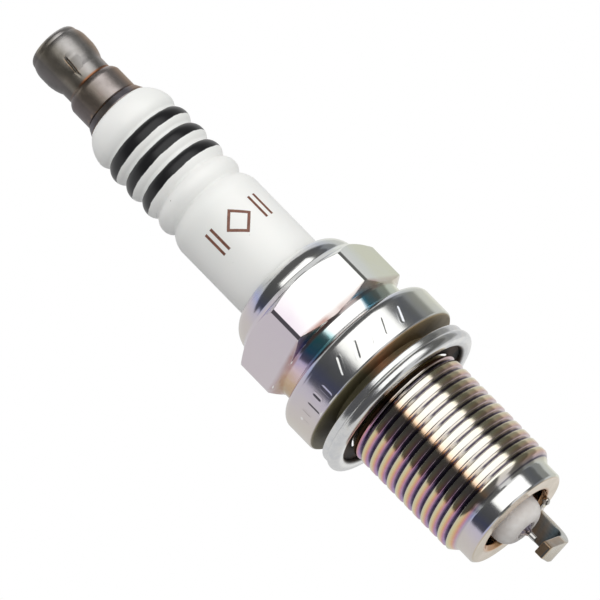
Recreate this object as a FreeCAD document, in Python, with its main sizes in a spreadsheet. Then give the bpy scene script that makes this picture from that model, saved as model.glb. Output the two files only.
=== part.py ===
import FreeCAD, Part
import os

import Sketcher

# Spark plug with a 14 mm flat-seat thread and a 16 mm hexagon, as an assembly of its separate pieces.
# Millimetres. +Z runs along the plug's axis from the firing end to the terminal. The origin is the centre of
# the flange's seating face, and the ground electrode's leg stands at +Y.

SIZES = [
    # alias, value, what it is
    ("shell_end", -20.0, "height of the shell's firing end"),
    ("shell_bore", 3.95, "radius of the shell's mouth around the insulator nose"),
    ("ledge_height", -8.6, "height of the ledge that carries the insulator"),
    ("body_bore", 4.65, "radius of the bore above the ledge"),
    ("collar_bore", 6.3, "radius of the bore around the insulator's collar"),
    ("collar_bore_start", 3.3, "height where the bore widens for the collar"),
    ("pilot_radius", 6.2, "radius of the plain pilot and of the relief under the flange"),
    ("pilot_length", 2.5, "length of the plain pilot below the thread"),
    ("thread_radius", 7.0, "major radius of the M14 thread"),
    ("thread_pitch", 1.25, "pitch of the M14 thread"),
    ("thread_root", 6.25, "radius at the bottom of the thread's groove"),
    ("root_width", 0.22, "width of the groove at its bottom"),
    ("relief_length", 2.5, "length of the plain relief under the flange"),
    ("flange_radius", 9.73, "radius of the flange"),
    ("flange_top", 3.45, "height where the flange's cylinder ends"),
    ("neck_radius", 7.83, "radius of the neck between flange and hexagon"),
    ("neck_start", 4.75, "height where the neck starts"),
    ("neck_end", 6.1, "height where the neck ends"),
    ("hex_across_flats", 16.0, "hexagon across its flats"),
    ("hex_corner_radius", 9.1, "radius of the hexagon's blunted corners"),
    ("hex_low_corner", 7.05, "height where a corner edge starts"),
    ("hex_high_corner", 11.1, "height where a corner edge ends"),
    ("hex_turn", -3.2, "turn of the hexagon about Z, in degrees, from a corner at +Y"),
    ("lip_radius", 7.47, "radius at the foot of the rolled lip"),
    ("lip_start", 12.42, "height of the rolled lip's foot"),
    ("lip_end", 14.86, "height where the rolled lip meets the insulator"),
    ("lip_bend", 2.85, "outer radius of the rolled lip"),
    ("insulator_radius", 5.26, "radius of the insulator above the shell"),
    ("nose_end", -21.5, "height of the insulator's nose"),
    ("nose_radius", 2.86, "radius of the insulator's nose"),
    ("nose_flat", 1.3, "radius of the flat at the nose's end"),
    ("nose_bend", 1.56, "radius of the nose's rounded edge"),
    ("nose_root_radius", 3.55, "radius of the nose at its root"),
    ("waist_radius", 4.6, "radius of the insulator between ledge and collar"),
    ("collar_radius", 6.22, "radius of the insulator's collar"),
    ("collar_start", 4.4, "height where the collar reaches its full radius"),
    ("collar_end", 9.0, "height where the collar's top shoulder starts"),
    ("body_end", 24.4, "height where the straight body ends"),
    ("first_notch", 26.1, "height of the lowest notch between ribs"),
    ("rib_pitch", 2.43, "distance between ribs"),
    ("rib_radius", 5.08, "radius of the ribs"),
    ("notch_radius", 4.54, "radius of the notches"),
    ("dome_radius", 4.97, "radius of the insulator's domed head"),
    ("head_radius", 3.67, "radius of the insulator's top face"),
    ("head_end", 39.4, "height of the insulator's top face"),
    ("tip_bore", 1.1, "radius of the insulator's bore at the nose"),
    ("seal_bore", 1.95, "radius of the insulator's bore above the electrode's head"),
    ("electrode_seat", -6.0, "height of the step that carries the electrode's head"),
    ("play", 0.02, "gap between fixed neighbours"),
    ("electrode_radius", 1.05, "radius of the centre electrode"),
    ("electrode_head_radius", 1.8, "radius of the centre electrode's head"),
    ("core_radius", 0.6, "radius of the copper core"),
    ("wire_radius", 0.3, "radius of the fine wire firing tip"),
    ("wire_end", -22.8, "height of the firing tip's end"),
    ("wire_length", 0.8, "length of the fine wire above its weld"),
    ("weld_length", 0.22, "length of the weld between wire and electrode"),
    ("cone_radius", 0.43, "radius of the electrode's cone where the weld starts"),
    ("lower_seal_end", 4.0, "height where the lower glass seal ends"),
    ("resistor_end", 13.0, "height where the resistor ends"),
    ("upper_seal_end", 20.0, "height where the upper glass seal ends"),
    ("stud_shank_radius", 1.7, "radius of the stud inside the insulator"),
    ("stud_start", 16.0, "height of the stud's lower end, sunk in the upper seal"),
    ("stud_flange_end", 40.22, "height of the top of the stud's flange"),
    ("stud_thread_radius", 2.0, "major radius of the stud's M4 thread"),
    ("stud_thread_pitch", 0.7, "pitch of the M4 thread"),
    ("stud_thread_depth", 0.4, "depth of the M4 thread"),
    ("stud_end", 47.2, "height of the stud's upper end"),
    ("nut_play", 0.05, "running gap between nut and stud"),
    ("nut_start", 40.28, "height of the nut's lower face"),
    ("nut_collar_radius", 3.2, "radius of the nut's collar"),
    ("nut_collar_end", 42.85, "height where the nut's collar ends"),
    ("nut_neck_radius", 2.7, "radius of the nut's neck"),
    ("nut_neck_start", 43.6, "height where the nut's neck starts"),
    ("nut_neck_end", 44.95, "height where the nut's neck ends"),
    ("barrel_radius", 3.175, "radius of the connector barrel"),
    ("barrel_start", 46.7, "height where the barrel's widest belt starts"),
    ("barrel_end", 47.7, "height where the barrel's widest belt ends"),
    ("nut_end", 49.76, "height of the nut's top"),
    ("dent_width", 1.7, "width of the staking dent in the barrel"),
    ("dent_low", 44.6, "height of the dent's lower end"),
    ("dent_high", 47.2, "height of the dent's upper end"),
    ("dent_depth", 0.32, "depth of the dent below the barrel's belt"),
    ("dent_turn", 31.0, "turn of the dent about Z, in degrees, from -Y towards +X"),
    ("gasket_low", -3.35, "height of the gasket's lower face, hanging on the thread"),
    ("gasket_high", -1.3, "height of the gasket's upper face, hanging on the thread"),
    ("gasket_radius", 9.72, "outer radius of the gasket's lower fold"),
    ("gasket_upper_radius", 9.5, "outer radius of the gasket's upper fold"),
    ("gasket_hole", 8.05, "radius of the gasket's hole"),
    ("gasket_lip", 6.7, "radius of the lip that keeps the gasket on the thread"),
    ("lip_thickness", 0.35, "thickness of that lip"),
    ("ground_width", 2.75, "width of the ground electrode"),
    ("ground_thickness", 1.05, "thickness of the ground electrode"),
    ("ground_inner", 4.05, "distance from the axis to the leg's inner face"),
    ("ground_low", -24.8, "height of the arm's lower face"),
    ("ground_inner_bend", 1.1, "radius of the bend's inner side"),
    ("ground_reach", 0.8, "how far the arm's end passes the axis"),
    ("ground_tip_width", 1.5, "width of the arm's cut end"),
    ("ground_taper_start", 2.3, "distance from the axis where the arm's taper starts"),
    ("flash_width", 0.3, "width of the weld flash around the leg's foot"),
    ("flash_height", 0.28, "height of the weld flash around the leg's foot"),
    ("bead_radius", 0.42, "radius of the bead of weld flash beside the leg"),
    ("packing_radius", 0.42, "section radius of the packing rings"),
    ("upper_packing_height", 12.9, "height of the upper packing ring's centre"),
]

doc = FreeCAD.newDocument("spark_plug")
sheet = doc.addObject("Spreadsheet::Sheet", "Sizes")


class Size:
    """A number that also carries the sheet expression it is worked out from."""

    def __init__(self, value, text):
        self.value = value
        self.text = text

    @staticmethod
    def of(other):
        return other if isinstance(other, Size) else Size(other, repr(other))

    def join(self, sign, other, value):
        return Size(value, f"({self.text} {sign} {other.text})")

    def __add__(self, other):
        other = Size.of(other)
        return self.join("+", other, self.value + other.value)

    def __sub__(self, other):
        other = Size.of(other)
        return self.join("-", other, self.value - other.value)

    def __mul__(self, other):
        other = Size.of(other)
        return self.join("*", other, self.value * other.value)

    def __truediv__(self, other):
        other = Size.of(other)
        return self.join("/", other, self.value / other.value)

    def __neg__(self):
        return self * -1


def fill_sheet():
    """Writes the sizes to the sheet and returns them by alias."""
    named = {}
    for row, (alias, value, meaning) in enumerate(SIZES, start=1):
        sheet.set(f"A{row}", meaning)
        sheet.set(f"B{row}", str(value))
        sheet.setAlias(f"B{row}", alias)
        named[alias] = Size(value, f"Sizes.{alias}")
    doc.recompute()
    return named


size = fill_sheet()
ROOT_THREE = 3**0.5
TAN_30 = 1 / ROOT_THREE
LEFT, RIGHT = 1, -1


def corner(x, y):
    """The end of a straight edge of an outline."""
    return Size.of(x), Size.of(y), None, None


def bend(x, y, radius, side):
    """The end of an arc of an outline. side is the side of the path that the arc's centre is on."""
    return Size.of(x), Size.of(y), Size.of(radius), side


def bind(sketch, index, expression):
    sketch.setExpression(f"Constraints[{index}]", expression)


def edge_between(start, end):
    """The sketch geometry of one edge, and which of its points, 1 or 2, is the path's start and end."""
    x, y, radius, side = end
    a = FreeCAD.Vector(start[0].value, start[1].value, 0)
    b = FreeCAD.Vector(x.value, y.value, 0)
    if radius is None:
        return Part.LineSegment(a, b), 1, 2
    chord = b - a
    across = FreeCAD.Vector(-chord.y, chord.x, 0).normalize()
    offset = (radius.value**2 - (chord.Length / 2) ** 2) ** 0.5
    centre = (a + b) * 0.5 + across * (side * offset)
    circle = Part.Circle(centre, FreeCAD.Vector(0, 0, 1), radius.value)
    ends = (a, b) if side == LEFT else (b, a)
    angles = [circle.parameter(point) for point in ends]
    arc = Part.ArcOfCircle(circle, *angles)
    return (arc, 1, 2) if side == LEFT else (arc, 2, 1)


def draw(sketch, outline):
    """Draws a closed outline and binds each corner's place and each arc's radius to the sheet."""
    first = sketch.GeometryCount
    count = len(outline)
    edges = [edge_between(outline[i - 1], outline[i]) for i in range(count)]
    sketch.addGeometry([edge[0] for edge in edges], False)
    for i, (x, y, radius, _) in enumerate(outline):
        this, following = first + i, first + (i + 1) % count
        end_point, next_start = edges[i][2], edges[(i + 1) % count][1]
        sketch.addConstraint(
            Sketcher.Constraint("Coincident", this, end_point, following, next_start)
        )
        for kind, place, axis in (("DistanceX", x, -2), ("DistanceY", y, -1)):
            if place.value == 0:
                sketch.addConstraint(
                    Sketcher.Constraint("PointOnObject", this, end_point, axis)
                )
                continue
            rule = Sketcher.Constraint(kind, -1, 1, this, end_point, place.value)
            bind(sketch, sketch.addConstraint(rule), place.text)
        if radius is not None:
            rule = Sketcher.Constraint("Radius", this, radius.value)
            bind(sketch, sketch.addConstraint(rule), radius.text)


def origin_plane(body, role):
    return next(f for f in body.Origin.OriginFeatures if f.Role == role)


def new_body(name):
    body = doc.addObject("PartDesign::Body", name)
    body.Label = name
    return body


def sketch_on(body, name, role, outline):
    """A sketch with one closed outline on one of the body's own origin planes."""
    sketch = body.newObject("Sketcher::SketchObject", name)
    sketch.AttachmentSupport = (origin_plane(body, role), [""])
    sketch.MapMode = "FlatFace"
    draw(sketch, outline)
    return sketch


def revolved(name, outline):
    """A body turned about Z from a half-section of (radius, height) corners."""
    body = new_body(name)
    sketch = sketch_on(body, name + "_section", "XZ_Plane", outline)
    turned = body.newObject("PartDesign::Revolution", name + "_turned")
    turned.Profile = sketch
    turned.ReferenceAxis = (sketch, ["V_Axis"])
    turned.Angle = 360
    doc.recompute()
    return body


def cut_thread(body, name, start, length, root, crest, root_width, pitch):
    """Cuts a right-handed 60 degree thread, whose groove starts and ends clear of the material."""
    half_root = root_width / 2
    half_crest = half_root + (crest - root) * TAN_30
    groove = [
        corner(root, start - half_root),
        corner(crest, start - half_crest),
        corner(crest, start + half_crest),
        corner(root, start + half_root),
    ]
    sketch = sketch_on(body, name + "_groove", "XZ_Plane", groove)
    doc.recompute()
    helix = body.newObject("PartDesign::SubtractiveHelix", name)
    helix.Profile = sketch
    helix.ReferenceAxis = (sketch, ["V_Axis"])
    helix.Mode = "pitch-height-angle"
    helix.setExpression("Pitch", pitch.text)
    helix.setExpression("Height", length.text)
    helix.LeftHanded = False
    before = body.Shape.Volume
    doc.recompute()
    if not helix.Shape.Volume < 0.999 * before:
        raise RuntimeError(f"{name} removed no material")


def metal_shell():
    """Shell with seat flange, hexagon and rolled lip, bored for the insulator, and threaded."""
    s = size
    chamfer = 0.25
    bore_chamfer = 0.4
    thread_start = s["shell_end"] + s["pilot_length"]
    thread_depth = s["thread_radius"] - s["pilot_radius"]
    flat_radius = s["hex_across_flats"] / 2
    shoulder_radius = s["flange_radius"] - 0.95
    lip_wall = 0.75
    outline = [
        corner(s["shell_bore"], s["shell_end"] + bore_chamfer),
        corner(s["shell_bore"] + bore_chamfer, s["shell_end"]),
        corner(s["pilot_radius"] - chamfer, s["shell_end"]),
        corner(s["pilot_radius"], s["shell_end"] + chamfer),
        corner(s["pilot_radius"], thread_start),
        corner(s["thread_radius"], thread_start + thread_depth),
        corner(s["thread_radius"], -(s["relief_length"] + thread_depth)),
        corner(s["pilot_radius"], -s["relief_length"]),
        corner(s["pilot_radius"], 0),
        corner(s["flange_radius"] - chamfer, 0),
        corner(s["flange_radius"], chamfer),
        corner(s["flange_radius"], s["flange_top"]),
        bend(shoulder_radius, s["flange_top"] + 1.08, 1.45, LEFT),
        corner(s["neck_radius"] + 0.25, s["neck_start"] - 0.1),
        bend(s["neck_radius"], s["neck_start"] + 0.2, 0.4, RIGHT),
        corner(s["neck_radius"], s["neck_end"]),
        corner(flat_radius + 0.05, s["neck_end"] + 0.37),
        corner(s["hex_corner_radius"], s["hex_low_corner"]),
        corner(s["hex_corner_radius"], s["hex_high_corner"]),
        corner(flat_radius, s["hex_high_corner"] + 0.75),
        corner(s["lip_radius"], s["lip_start"]),
        bend(s["insulator_radius"] + 0.04, s["lip_end"], s["lip_bend"], LEFT),
        corner(s["insulator_radius"] + 0.04, s["lip_end"] - lip_wall),
        bend(s["collar_bore"], s["lip_start"] + 0.6, 1.3, RIGHT),
        corner(s["collar_bore"], s["collar_bore_start"] + 0.95),
        corner(s["body_bore"], s["collar_bore_start"]),
        corner(s["body_bore"], s["ledge_height"] + 0.4),
        corner(s["shell_bore"], s["ledge_height"]),
    ]
    body = revolved("metal_shell", outline)
    cut_hexagon(body)
    run_out = s["thread_pitch"]
    start = thread_start - run_out
    length = -(s["relief_length"]) - start + run_out * 0.5
    crest = s["thread_radius"] + 0.12
    cut_thread(
        body, "shell_thread", start, length, s["thread_root"], crest, s["root_width"],
        s["thread_pitch"],
    )


def cut_hexagon(body):
    """Cuts the six flats out of the turned blank, leaving the corners blunted by the blank itself."""
    s = size
    half_flat = s["hex_across_flats"] / 2
    point = s["hex_across_flats"] / ROOT_THREE
    hexagon = [
        corner(0, point),
        corner(-half_flat, point / 2),
        corner(-half_flat, -point / 2),
        corner(0, -point),
        corner(half_flat, -point / 2),
        corner(half_flat, point / 2),
    ]
    sketch = sketch_on(body, "hexagon", "XY_Plane", hexagon)
    clear = s["hex_corner_radius"] + 1
    ring = sketch.addGeometry(
        Part.Circle(FreeCAD.Vector(), FreeCAD.Vector(0, 0, 1), clear.value), False
    )
    sketch.addConstraint(Sketcher.Constraint("Coincident", ring, 3, -1, 1))
    rule = Sketcher.Constraint("Radius", ring, clear.value)
    bind(sketch, sketch.addConstraint(rule), clear.text)
    sketch.setExpression("AttachmentOffset.Base.z", s["neck_end"].text)
    sketch.setExpression("AttachmentOffset.Rotation.Angle", s["hex_turn"].text)
    doc.recompute()
    before = body.Shape.Volume
    flats = body.newObject("PartDesign::Pocket", "hexagon_flats")
    flats.Profile = sketch
    flats.Reversed = True
    flats.setExpression("Length", (s["lip_start"] - s["neck_end"]).text)
    doc.recompute()
    if not flats.Shape.Volume < before - 20:
        raise RuntimeError("the hexagon's flats were not cut")


def gasket():
    """Folded sealing ring. Its inner lip keeps it between the flange and the first thread."""
    s = size
    low, high = s["gasket_low"], s["gasket_high"]
    seam = low + (high - low) * 0.6
    lip_low = low + 0.5
    lip_high = lip_low + s["lip_thickness"]
    edge = 0.45
    upper_hole = s["gasket_hole"] + 0.3
    lower_outer = s["gasket_radius"]
    upper_outer = s["gasket_upper_radius"]
    outline = [
        corner(s["gasket_lip"], lip_low),
        corner(s["gasket_hole"], lip_low),
        bend(s["gasket_hole"] + edge, low, edge + 0.05, LEFT),
        corner(lower_outer - 0.65, low),
        bend(lower_outer, low + 0.65, 0.655, LEFT),
        bend(lower_outer - 0.3, seam, 0.655, LEFT),
        corner(upper_outer - 0.02, seam + 0.14),
        bend(upper_outer - edge, high, 0.62, LEFT),
        corner(upper_hole + edge, high),
        bend(upper_hole, high - edge, edge + 0.01, LEFT),
        corner(upper_hole, lip_high + 0.12),
        corner(s["gasket_lip"] + 1.2, lip_high),
        corner(s["gasket_lip"], lip_high),
    ]
    revolved("gasket", outline)


def insulator():
    """One-piece ceramic: nose, seat, collar, straight body, ribs and domed head, bored in steps."""
    s = size
    seat = s["ledge_height"] + 0.35
    outline = [
        corner(s["tip_bore"], s["nose_end"]),
        corner(s["nose_flat"], s["nose_end"]),
        bend(s["nose_radius"], s["nose_end"] + s["nose_bend"], s["nose_bend"] + 0.01, LEFT),
        corner(s["nose_root_radius"], seat - 0.45),
        corner(s["waist_radius"], seat + 0.35),
        corner(s["waist_radius"], s["collar_start"] - 0.95),
        corner(s["collar_radius"], s["collar_start"]),
        corner(s["collar_radius"], s["collar_end"]),
        bend(s["insulator_radius"] - 0.1, s["collar_end"] + 1.2, 1.5, LEFT),
        corner(s["insulator_radius"], s["lip_end"] + 0.1),
        corner(s["insulator_radius"], s["body_end"]),
        bend(s["notch_radius"] + 0.12, s["first_notch"] - 0.25, 3.2, LEFT),
        bend(s["notch_radius"] + 0.1, s["first_notch"] + 0.2, 0.3, RIGHT),
    ]
    for rib in range(4):
        notch = s["first_notch"] + s["rib_pitch"] * rib
        outline += [
            bend(s["rib_radius"], notch + s["rib_pitch"] * 0.45, 1.15, LEFT),
            bend(s["notch_radius"] + 0.1, notch + s["rib_pitch"] - 0.2, 1.5, LEFT),
            bend(s["notch_radius"] + 0.1, notch + s["rib_pitch"] + 0.2, 0.3, RIGHT),
        ]
    outline += [
        bend(s["dome_radius"], s["head_end"] - 2.5, 1.2, LEFT),
        bend(s["head_radius"], s["head_end"], 3.6, LEFT),
        corner(s["seal_bore"], s["head_end"]),
        corner(s["seal_bore"], s["electrode_seat"] + 0.8),
        corner(s["tip_bore"], s["electrode_seat"]),
    ]
    revolved("insulator", outline)


def center_electrode():
    """Nickel electrode with a head that rests on the insulator's inner step and a coned end."""
    s = size
    wire_start = s["wire_end"] + s["wire_length"] + s["weld_length"]
    core_low, core_high = s["nose_end"] + 3.0, s["electrode_seat"] - 1.0
    core_room = s["core_radius"] + s["play"]
    cone_start = s["nose_end"] + 0.35
    outline = [
        corner(0, wire_start),
        corner(s["cone_radius"], wire_start),
        corner(s["cone_radius"] + 0.05, s["nose_end"] - 0.15),
        corner(s["electrode_radius"], cone_start),
        corner(s["electrode_radius"], s["electrode_seat"] + 0.1),
        corner(s["electrode_head_radius"], s["electrode_seat"] + 0.95),
        corner(s["electrode_head_radius"], s["electrode_seat"] + 1.8),
        corner(s["electrode_radius"], s["electrode_seat"] + 2.4),
        corner(0, s["electrode_seat"] + 2.4),
        corner(0, core_high + s["play"]),
        corner(core_room, core_high + s["play"]),
        corner(core_room, core_low - s["play"]),
        corner(0, core_low - s["play"]),
    ]
    revolved("center_electrode", outline)
    round_bar("electrode_copper_core", s["core_radius"], core_low, core_high)
    weld = [
        corner(0, wire_start),
        corner(s["cone_radius"] - 0.02, wire_start),
        bend(s["wire_radius"] + 0.02, wire_start - s["weld_length"], 0.6, RIGHT),
        corner(0, wire_start - s["weld_length"]),
    ]
    revolved("tip_weld", weld)
    tip_edge = 0.04
    wire = [
        corner(0, s["wire_end"]),
        corner(s["wire_radius"] - tip_edge, s["wire_end"]),
        corner(s["wire_radius"], s["wire_end"] + tip_edge),
        corner(s["wire_radius"], s["wire_end"] + s["wire_length"]),
        corner(0, s["wire_end"] + s["wire_length"]),
    ]
    revolved("iridium_tip", wire)


def round_bar(name, radius, low, high):
    outline = [corner(0, low), corner(radius, low), corner(radius, high), corner(0, high)]
    revolved(name, outline)


def tube(name, inner, outer, low, high):
    outline = [
        corner(inner, low),
        corner(outer, low),
        corner(outer, high),
        corner(inner, high),
    ]
    revolved(name, outline)


def conducting_column():
    """Glass seal, resistor and second glass seal, stacked in the insulator's bore."""
    s = size
    radius = s["seal_bore"] - s["play"]
    head_end = s["electrode_seat"] + 2.4 + s["play"]
    round_bar("lower_glass_seal", radius, head_end, s["lower_seal_end"])
    round_bar("resistor", radius, s["lower_seal_end"] + s["play"], s["resistor_end"])
    socket = s["stud_shank_radius"] + s["play"]
    socket_floor = s["stud_start"] - s["play"]
    outline = [
        corner(0, s["resistor_end"] + s["play"]),
        corner(radius, s["resistor_end"] + s["play"]),
        corner(radius, s["upper_seal_end"]),
        corner(socket, s["upper_seal_end"]),
        corner(socket, socket_floor),
        corner(0, socket_floor),
    ]
    revolved("upper_glass_seal", outline)


def terminal_stud():
    """Steel stud: shank in the seal, flange on the insulator's head, M4 thread for the terminal nut."""
    s = size
    seat = s["head_end"] + s["play"]
    chamfer = 0.35
    root = s["stud_thread_radius"] - s["stud_thread_depth"]
    outline = [
        corner(0, s["stud_start"]),
        corner(s["stud_shank_radius"], s["stud_start"]),
        corner(s["stud_shank_radius"], seat),
        corner(s["head_radius"], seat),
        corner(s["head_radius"] - 0.02, seat + 0.1),
        corner(s["nut_collar_radius"] + 0.1, s["stud_flange_end"]),
        corner(root - 0.02, s["stud_flange_end"]),
        corner(root - 0.02, s["stud_flange_end"] + 0.7),
        corner(s["stud_thread_radius"], s["stud_flange_end"] + 1.1),
        corner(s["stud_thread_radius"], s["stud_end"] - chamfer - 0.1),
        corner(root - 0.02, s["stud_end"]),
        corner(0, s["stud_end"]),
    ]
    body = revolved("terminal_stud", outline)
    start = s["stud_flange_end"] + 0.45
    length = s["stud_end"] - start + s["stud_thread_pitch"]
    crest = s["stud_thread_radius"] + 0.06
    cut_thread(
        body, "stud_thread", start, length, root, crest, s["stud_thread_pitch"] / 8,
        s["stud_thread_pitch"],
    )


def terminal_nut():
    """Barrel nut that takes the lead's connector, staked on one side so that it grips the stud."""
    s = size
    bore = s["stud_thread_radius"] + s["nut_play"]
    bore_end = s["stud_end"] + 0.5
    edge = 0.15
    outline = [
        corner(bore, s["nut_start"]),
        corner(s["nut_collar_radius"] - edge, s["nut_start"]),
        corner(s["nut_collar_radius"], s["nut_start"] + edge),
        corner(s["nut_collar_radius"], s["nut_collar_end"]),
        bend(s["nut_neck_radius"], s["nut_neck_start"], 1.4, LEFT),
        corner(s["nut_neck_radius"], s["nut_neck_end"]),
        bend(s["barrel_radius"], s["barrel_start"], 4.6, LEFT),
        corner(s["barrel_radius"], s["barrel_end"]),
        bend(s["barrel_radius"] - 0.3, s["nut_end"] - 0.8, 2.6, LEFT),
        bend(s["barrel_radius"] - 0.95, s["nut_end"], 0.8, LEFT),
        corner(0, s["nut_end"]),
        corner(0, bore_end + bore * 0.55),
        corner(bore, bore_end),
    ]
    body = revolved("terminal_nut", outline)
    half = s["dent_width"] / 2
    low, high = s["dent_low"] + half, s["dent_high"] - half
    arch = half * 1.0001
    dent = [
        corner(half, high),
        bend(-half, high, arch, LEFT),
        corner(-half, low),
        bend(half, low, arch, LEFT),
    ]
    sketch = sketch_on(body, "dent_outline", "XZ_Plane", dent)
    stand_off_axis(sketch, s["barrel_radius"] - s["dent_depth"], s["dent_turn"])
    doc.recompute()
    before = body.Shape.Volume
    pressed = body.newObject("PartDesign::Pocket", "staking_dent")
    pressed.Profile = sketch
    pressed.Reversed = True
    pressed.setExpression("Length", (s["dent_depth"] * 4).text)
    doc.recompute()
    if not 0.05 < before - pressed.Shape.Volume < 2:
        raise RuntimeError("the staking dent was not cut")


def stand_off_axis(sketch, distance, turn):
    """Moves a sketch on the XZ plane out from the axis, facing turn degrees from -Y towards +X."""
    spin = FreeCAD.Rotation(FreeCAD.Vector(0, 1, 0), turn.value)
    sketch.AttachmentOffset = FreeCAD.Placement(FreeCAD.Vector(), spin)
    sketch.setExpression("AttachmentOffset.Rotation.Angle", turn.text)
    sketch.setExpression("AttachmentOffset.Base.x", f"{distance.text} * sin({turn.text} * 1 deg)")
    sketch.setExpression("AttachmentOffset.Base.z", f"{distance.text} * cos({turn.text} * 1 deg)")


def ground_electrode():
    """Nickel strap welded to the shell's end and bent over the firing tip, its end cut narrow."""
    s = size
    inner, thickness = s["ground_inner"], s["ground_thickness"]
    outer = inner + thickness
    high = s["ground_low"] + thickness
    inner_bend = s["ground_inner_bend"]
    outer_bend = inner_bend + thickness
    side = [
        corner(inner, s["shell_end"]),
        corner(inner, high + inner_bend),
        bend(inner - inner_bend, high, inner_bend * 1.0001, RIGHT),
        corner(-s["ground_reach"], high),
        corner(-s["ground_reach"], s["ground_low"]),
        corner(outer - outer_bend, s["ground_low"]),
        bend(outer, s["ground_low"] + outer_bend, outer_bend * 1.0001, LEFT),
        corner(outer, s["shell_end"]),
    ]
    body = new_body("ground_electrode")
    sketch = sketch_on(body, "strap_side", "YZ_Plane", side)
    strap = body.newObject("PartDesign::Pad", "strap")
    strap.Profile = sketch
    strap.Midplane = True
    strap.setExpression("Length", s["ground_width"].text)
    doc.recompute()
    before = strap.Shape.Volume
    half_strap = s["ground_width"] / 2
    half_tip = s["ground_tip_width"] / 2
    end = -s["ground_reach"]
    for name, hand in (("right_cut", 1), ("left_cut", -1)):
        wedge = [
            corner(half_tip * hand, end),
            corner(half_strap * hand, s["ground_taper_start"]),
            corner((half_strap + 1) * hand, s["ground_taper_start"]),
            corner((half_strap + 1) * hand, end - 1),
            corner(half_tip * hand, end - 1),
        ]
        cut_sketch = sketch_on(body, name + "_outline", "XY_Plane", wedge)
        cut_sketch.setExpression("AttachmentOffset.Base.z", (s["ground_low"] - 1).text)
        doc.recompute()
        cut = body.newObject("PartDesign::Pocket", name)
        cut.Profile = cut_sketch
        cut.Reversed = True
        cut.setExpression("Length", (thickness + 2).text)
        doc.recompute()
    if not strap.Shape.Volume - body.Shape.Volume > 0.05 * before:
        raise RuntimeError("the strap's end was not cut")


def primitive(kind, name, **expressions):
    """A Part primitive whose properties are bound to the sheet."""
    item = doc.addObject(kind, name)
    for prop, value in expressions.items():
        item.setExpression(prop.replace("_", "."), Size.of(value).text)
    return item


def weld_flash():
    """Metal squeezed out of the weld: a low rim around the leg's foot and a bead beside it."""
    s = size
    rim = s["flash_width"]
    width = s["ground_width"] + rim * 2
    depth = s["ground_thickness"] + rim * 2
    rim_block = primitive(
        "Part::Box", "flash_block", Length=width, Width=depth, Height=s["flash_height"],
        Placement_Base_x=-width / 2, Placement_Base_y=s["ground_inner"] - rim,
        Placement_Base_z=s["shell_end"] - s["flash_height"],
    )
    bead_x, bead_y = width / 2 + 1.05, s["ground_inner"] - 0.75
    bead = primitive(
        "Part::Sphere", "flash_bead", Radius=s["bead_radius"], Placement_Base_x=bead_x,
        Placement_Base_y=bead_y, Placement_Base_z=s["shell_end"] - 0.2,
    )
    smear_x, smear_y = width / 2 - 0.2, s["ground_inner"] + 0.2
    smear = primitive(
        "Part::Cylinder", "flash_smear", Radius=s["bead_radius"] * 0.55, Placement_Base_x=smear_x,
        Placement_Base_y=smear_y, Placement_Base_z=s["shell_end"] - 0.08,
    )
    run = FreeCAD.Vector((bead_x - smear_x).value, (bead_y - smear_y).value, 0)
    smear.Height = run.Length
    smear.Placement.Rotation = FreeCAD.Rotation(FreeCAD.Vector(0, 0, 1), run)
    metal = doc.addObject("Part::MultiFuse", "flash_metal")
    metal.Shapes = [rim_block, bead, smear]
    leg = primitive(
        "Part::Box", "leg_room", Length=s["ground_width"], Width=s["ground_thickness"], Height=2,
        Placement_Base_x=-s["ground_width"] / 2, Placement_Base_y=s["ground_inner"],
        Placement_Base_z=s["shell_end"] - 1,
    )
    shell_room = primitive(
        "Part::Cylinder", "shell_room", Radius=s["flange_radius"], Height=2,
        Placement_Base_z=s["shell_end"],
    )
    rooms = doc.addObject("Part::MultiFuse", "rooms")
    rooms.Shapes = [leg, shell_room]
    flash = doc.addObject("Part::Cut", "weld_flash")
    flash.Label = "weld_flash"
    flash.Base = metal
    flash.Tool = rooms
    doc.recompute()


def packings():
    """What seals the insulator in the shell: a washer on the ledge, and talc between two wire rings."""
    s = size
    seat = s["ledge_height"]
    gap = s["play"]
    washer = [
        corner(s["shell_bore"] + 0.02, seat + gap),
        corner(s["body_bore"] - gap, seat + 0.4 + gap),
        corner(s["body_bore"] - gap, seat + 0.63),
        corner(s["shell_bore"] + 0.02, seat + 0.16),
    ]
    revolved("seat_washer", washer)
    wire = s["packing_radius"]
    middle = (s["insulator_radius"] + s["collar_bore"]) / 2
    lower = s["collar_end"] + 1.55
    upper = s["upper_packing_height"]
    for name, height in (("lower_packing_ring", lower), ("upper_packing_ring", upper)):
        ring = doc.addObject("Part::Torus", name)
        ring.Label = name
        ring.setExpression("Radius1", middle.text)
        ring.setExpression("Radius2", wire.text)
        ring.setExpression("Placement.Base.z", height.text)
    inner, outer = s["insulator_radius"] + gap, s["collar_bore"] - gap
    tube("talc_fill", inner, outer, lower + wire + gap, upper - wire - gap)


metal_shell()
gasket()
insulator()
center_electrode()
conducting_column()
terminal_stud()
terminal_nut()
ground_electrode()
weld_flash()
packings()

NODES = [
    "metal_shell", "gasket", "insulator", "terminal_nut", "terminal_stud", "upper_glass_seal",
    "resistor", "lower_glass_seal", "center_electrode", "electrode_copper_core", "tip_weld",
    "iridium_tip", "ground_electrode", "weld_flash", "seat_washer", "lower_packing_ring",
    "upper_packing_ring", "talc_fill",
]


def failed(item):
    return "Invalid" in item.State or "Error" in item.State


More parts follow.
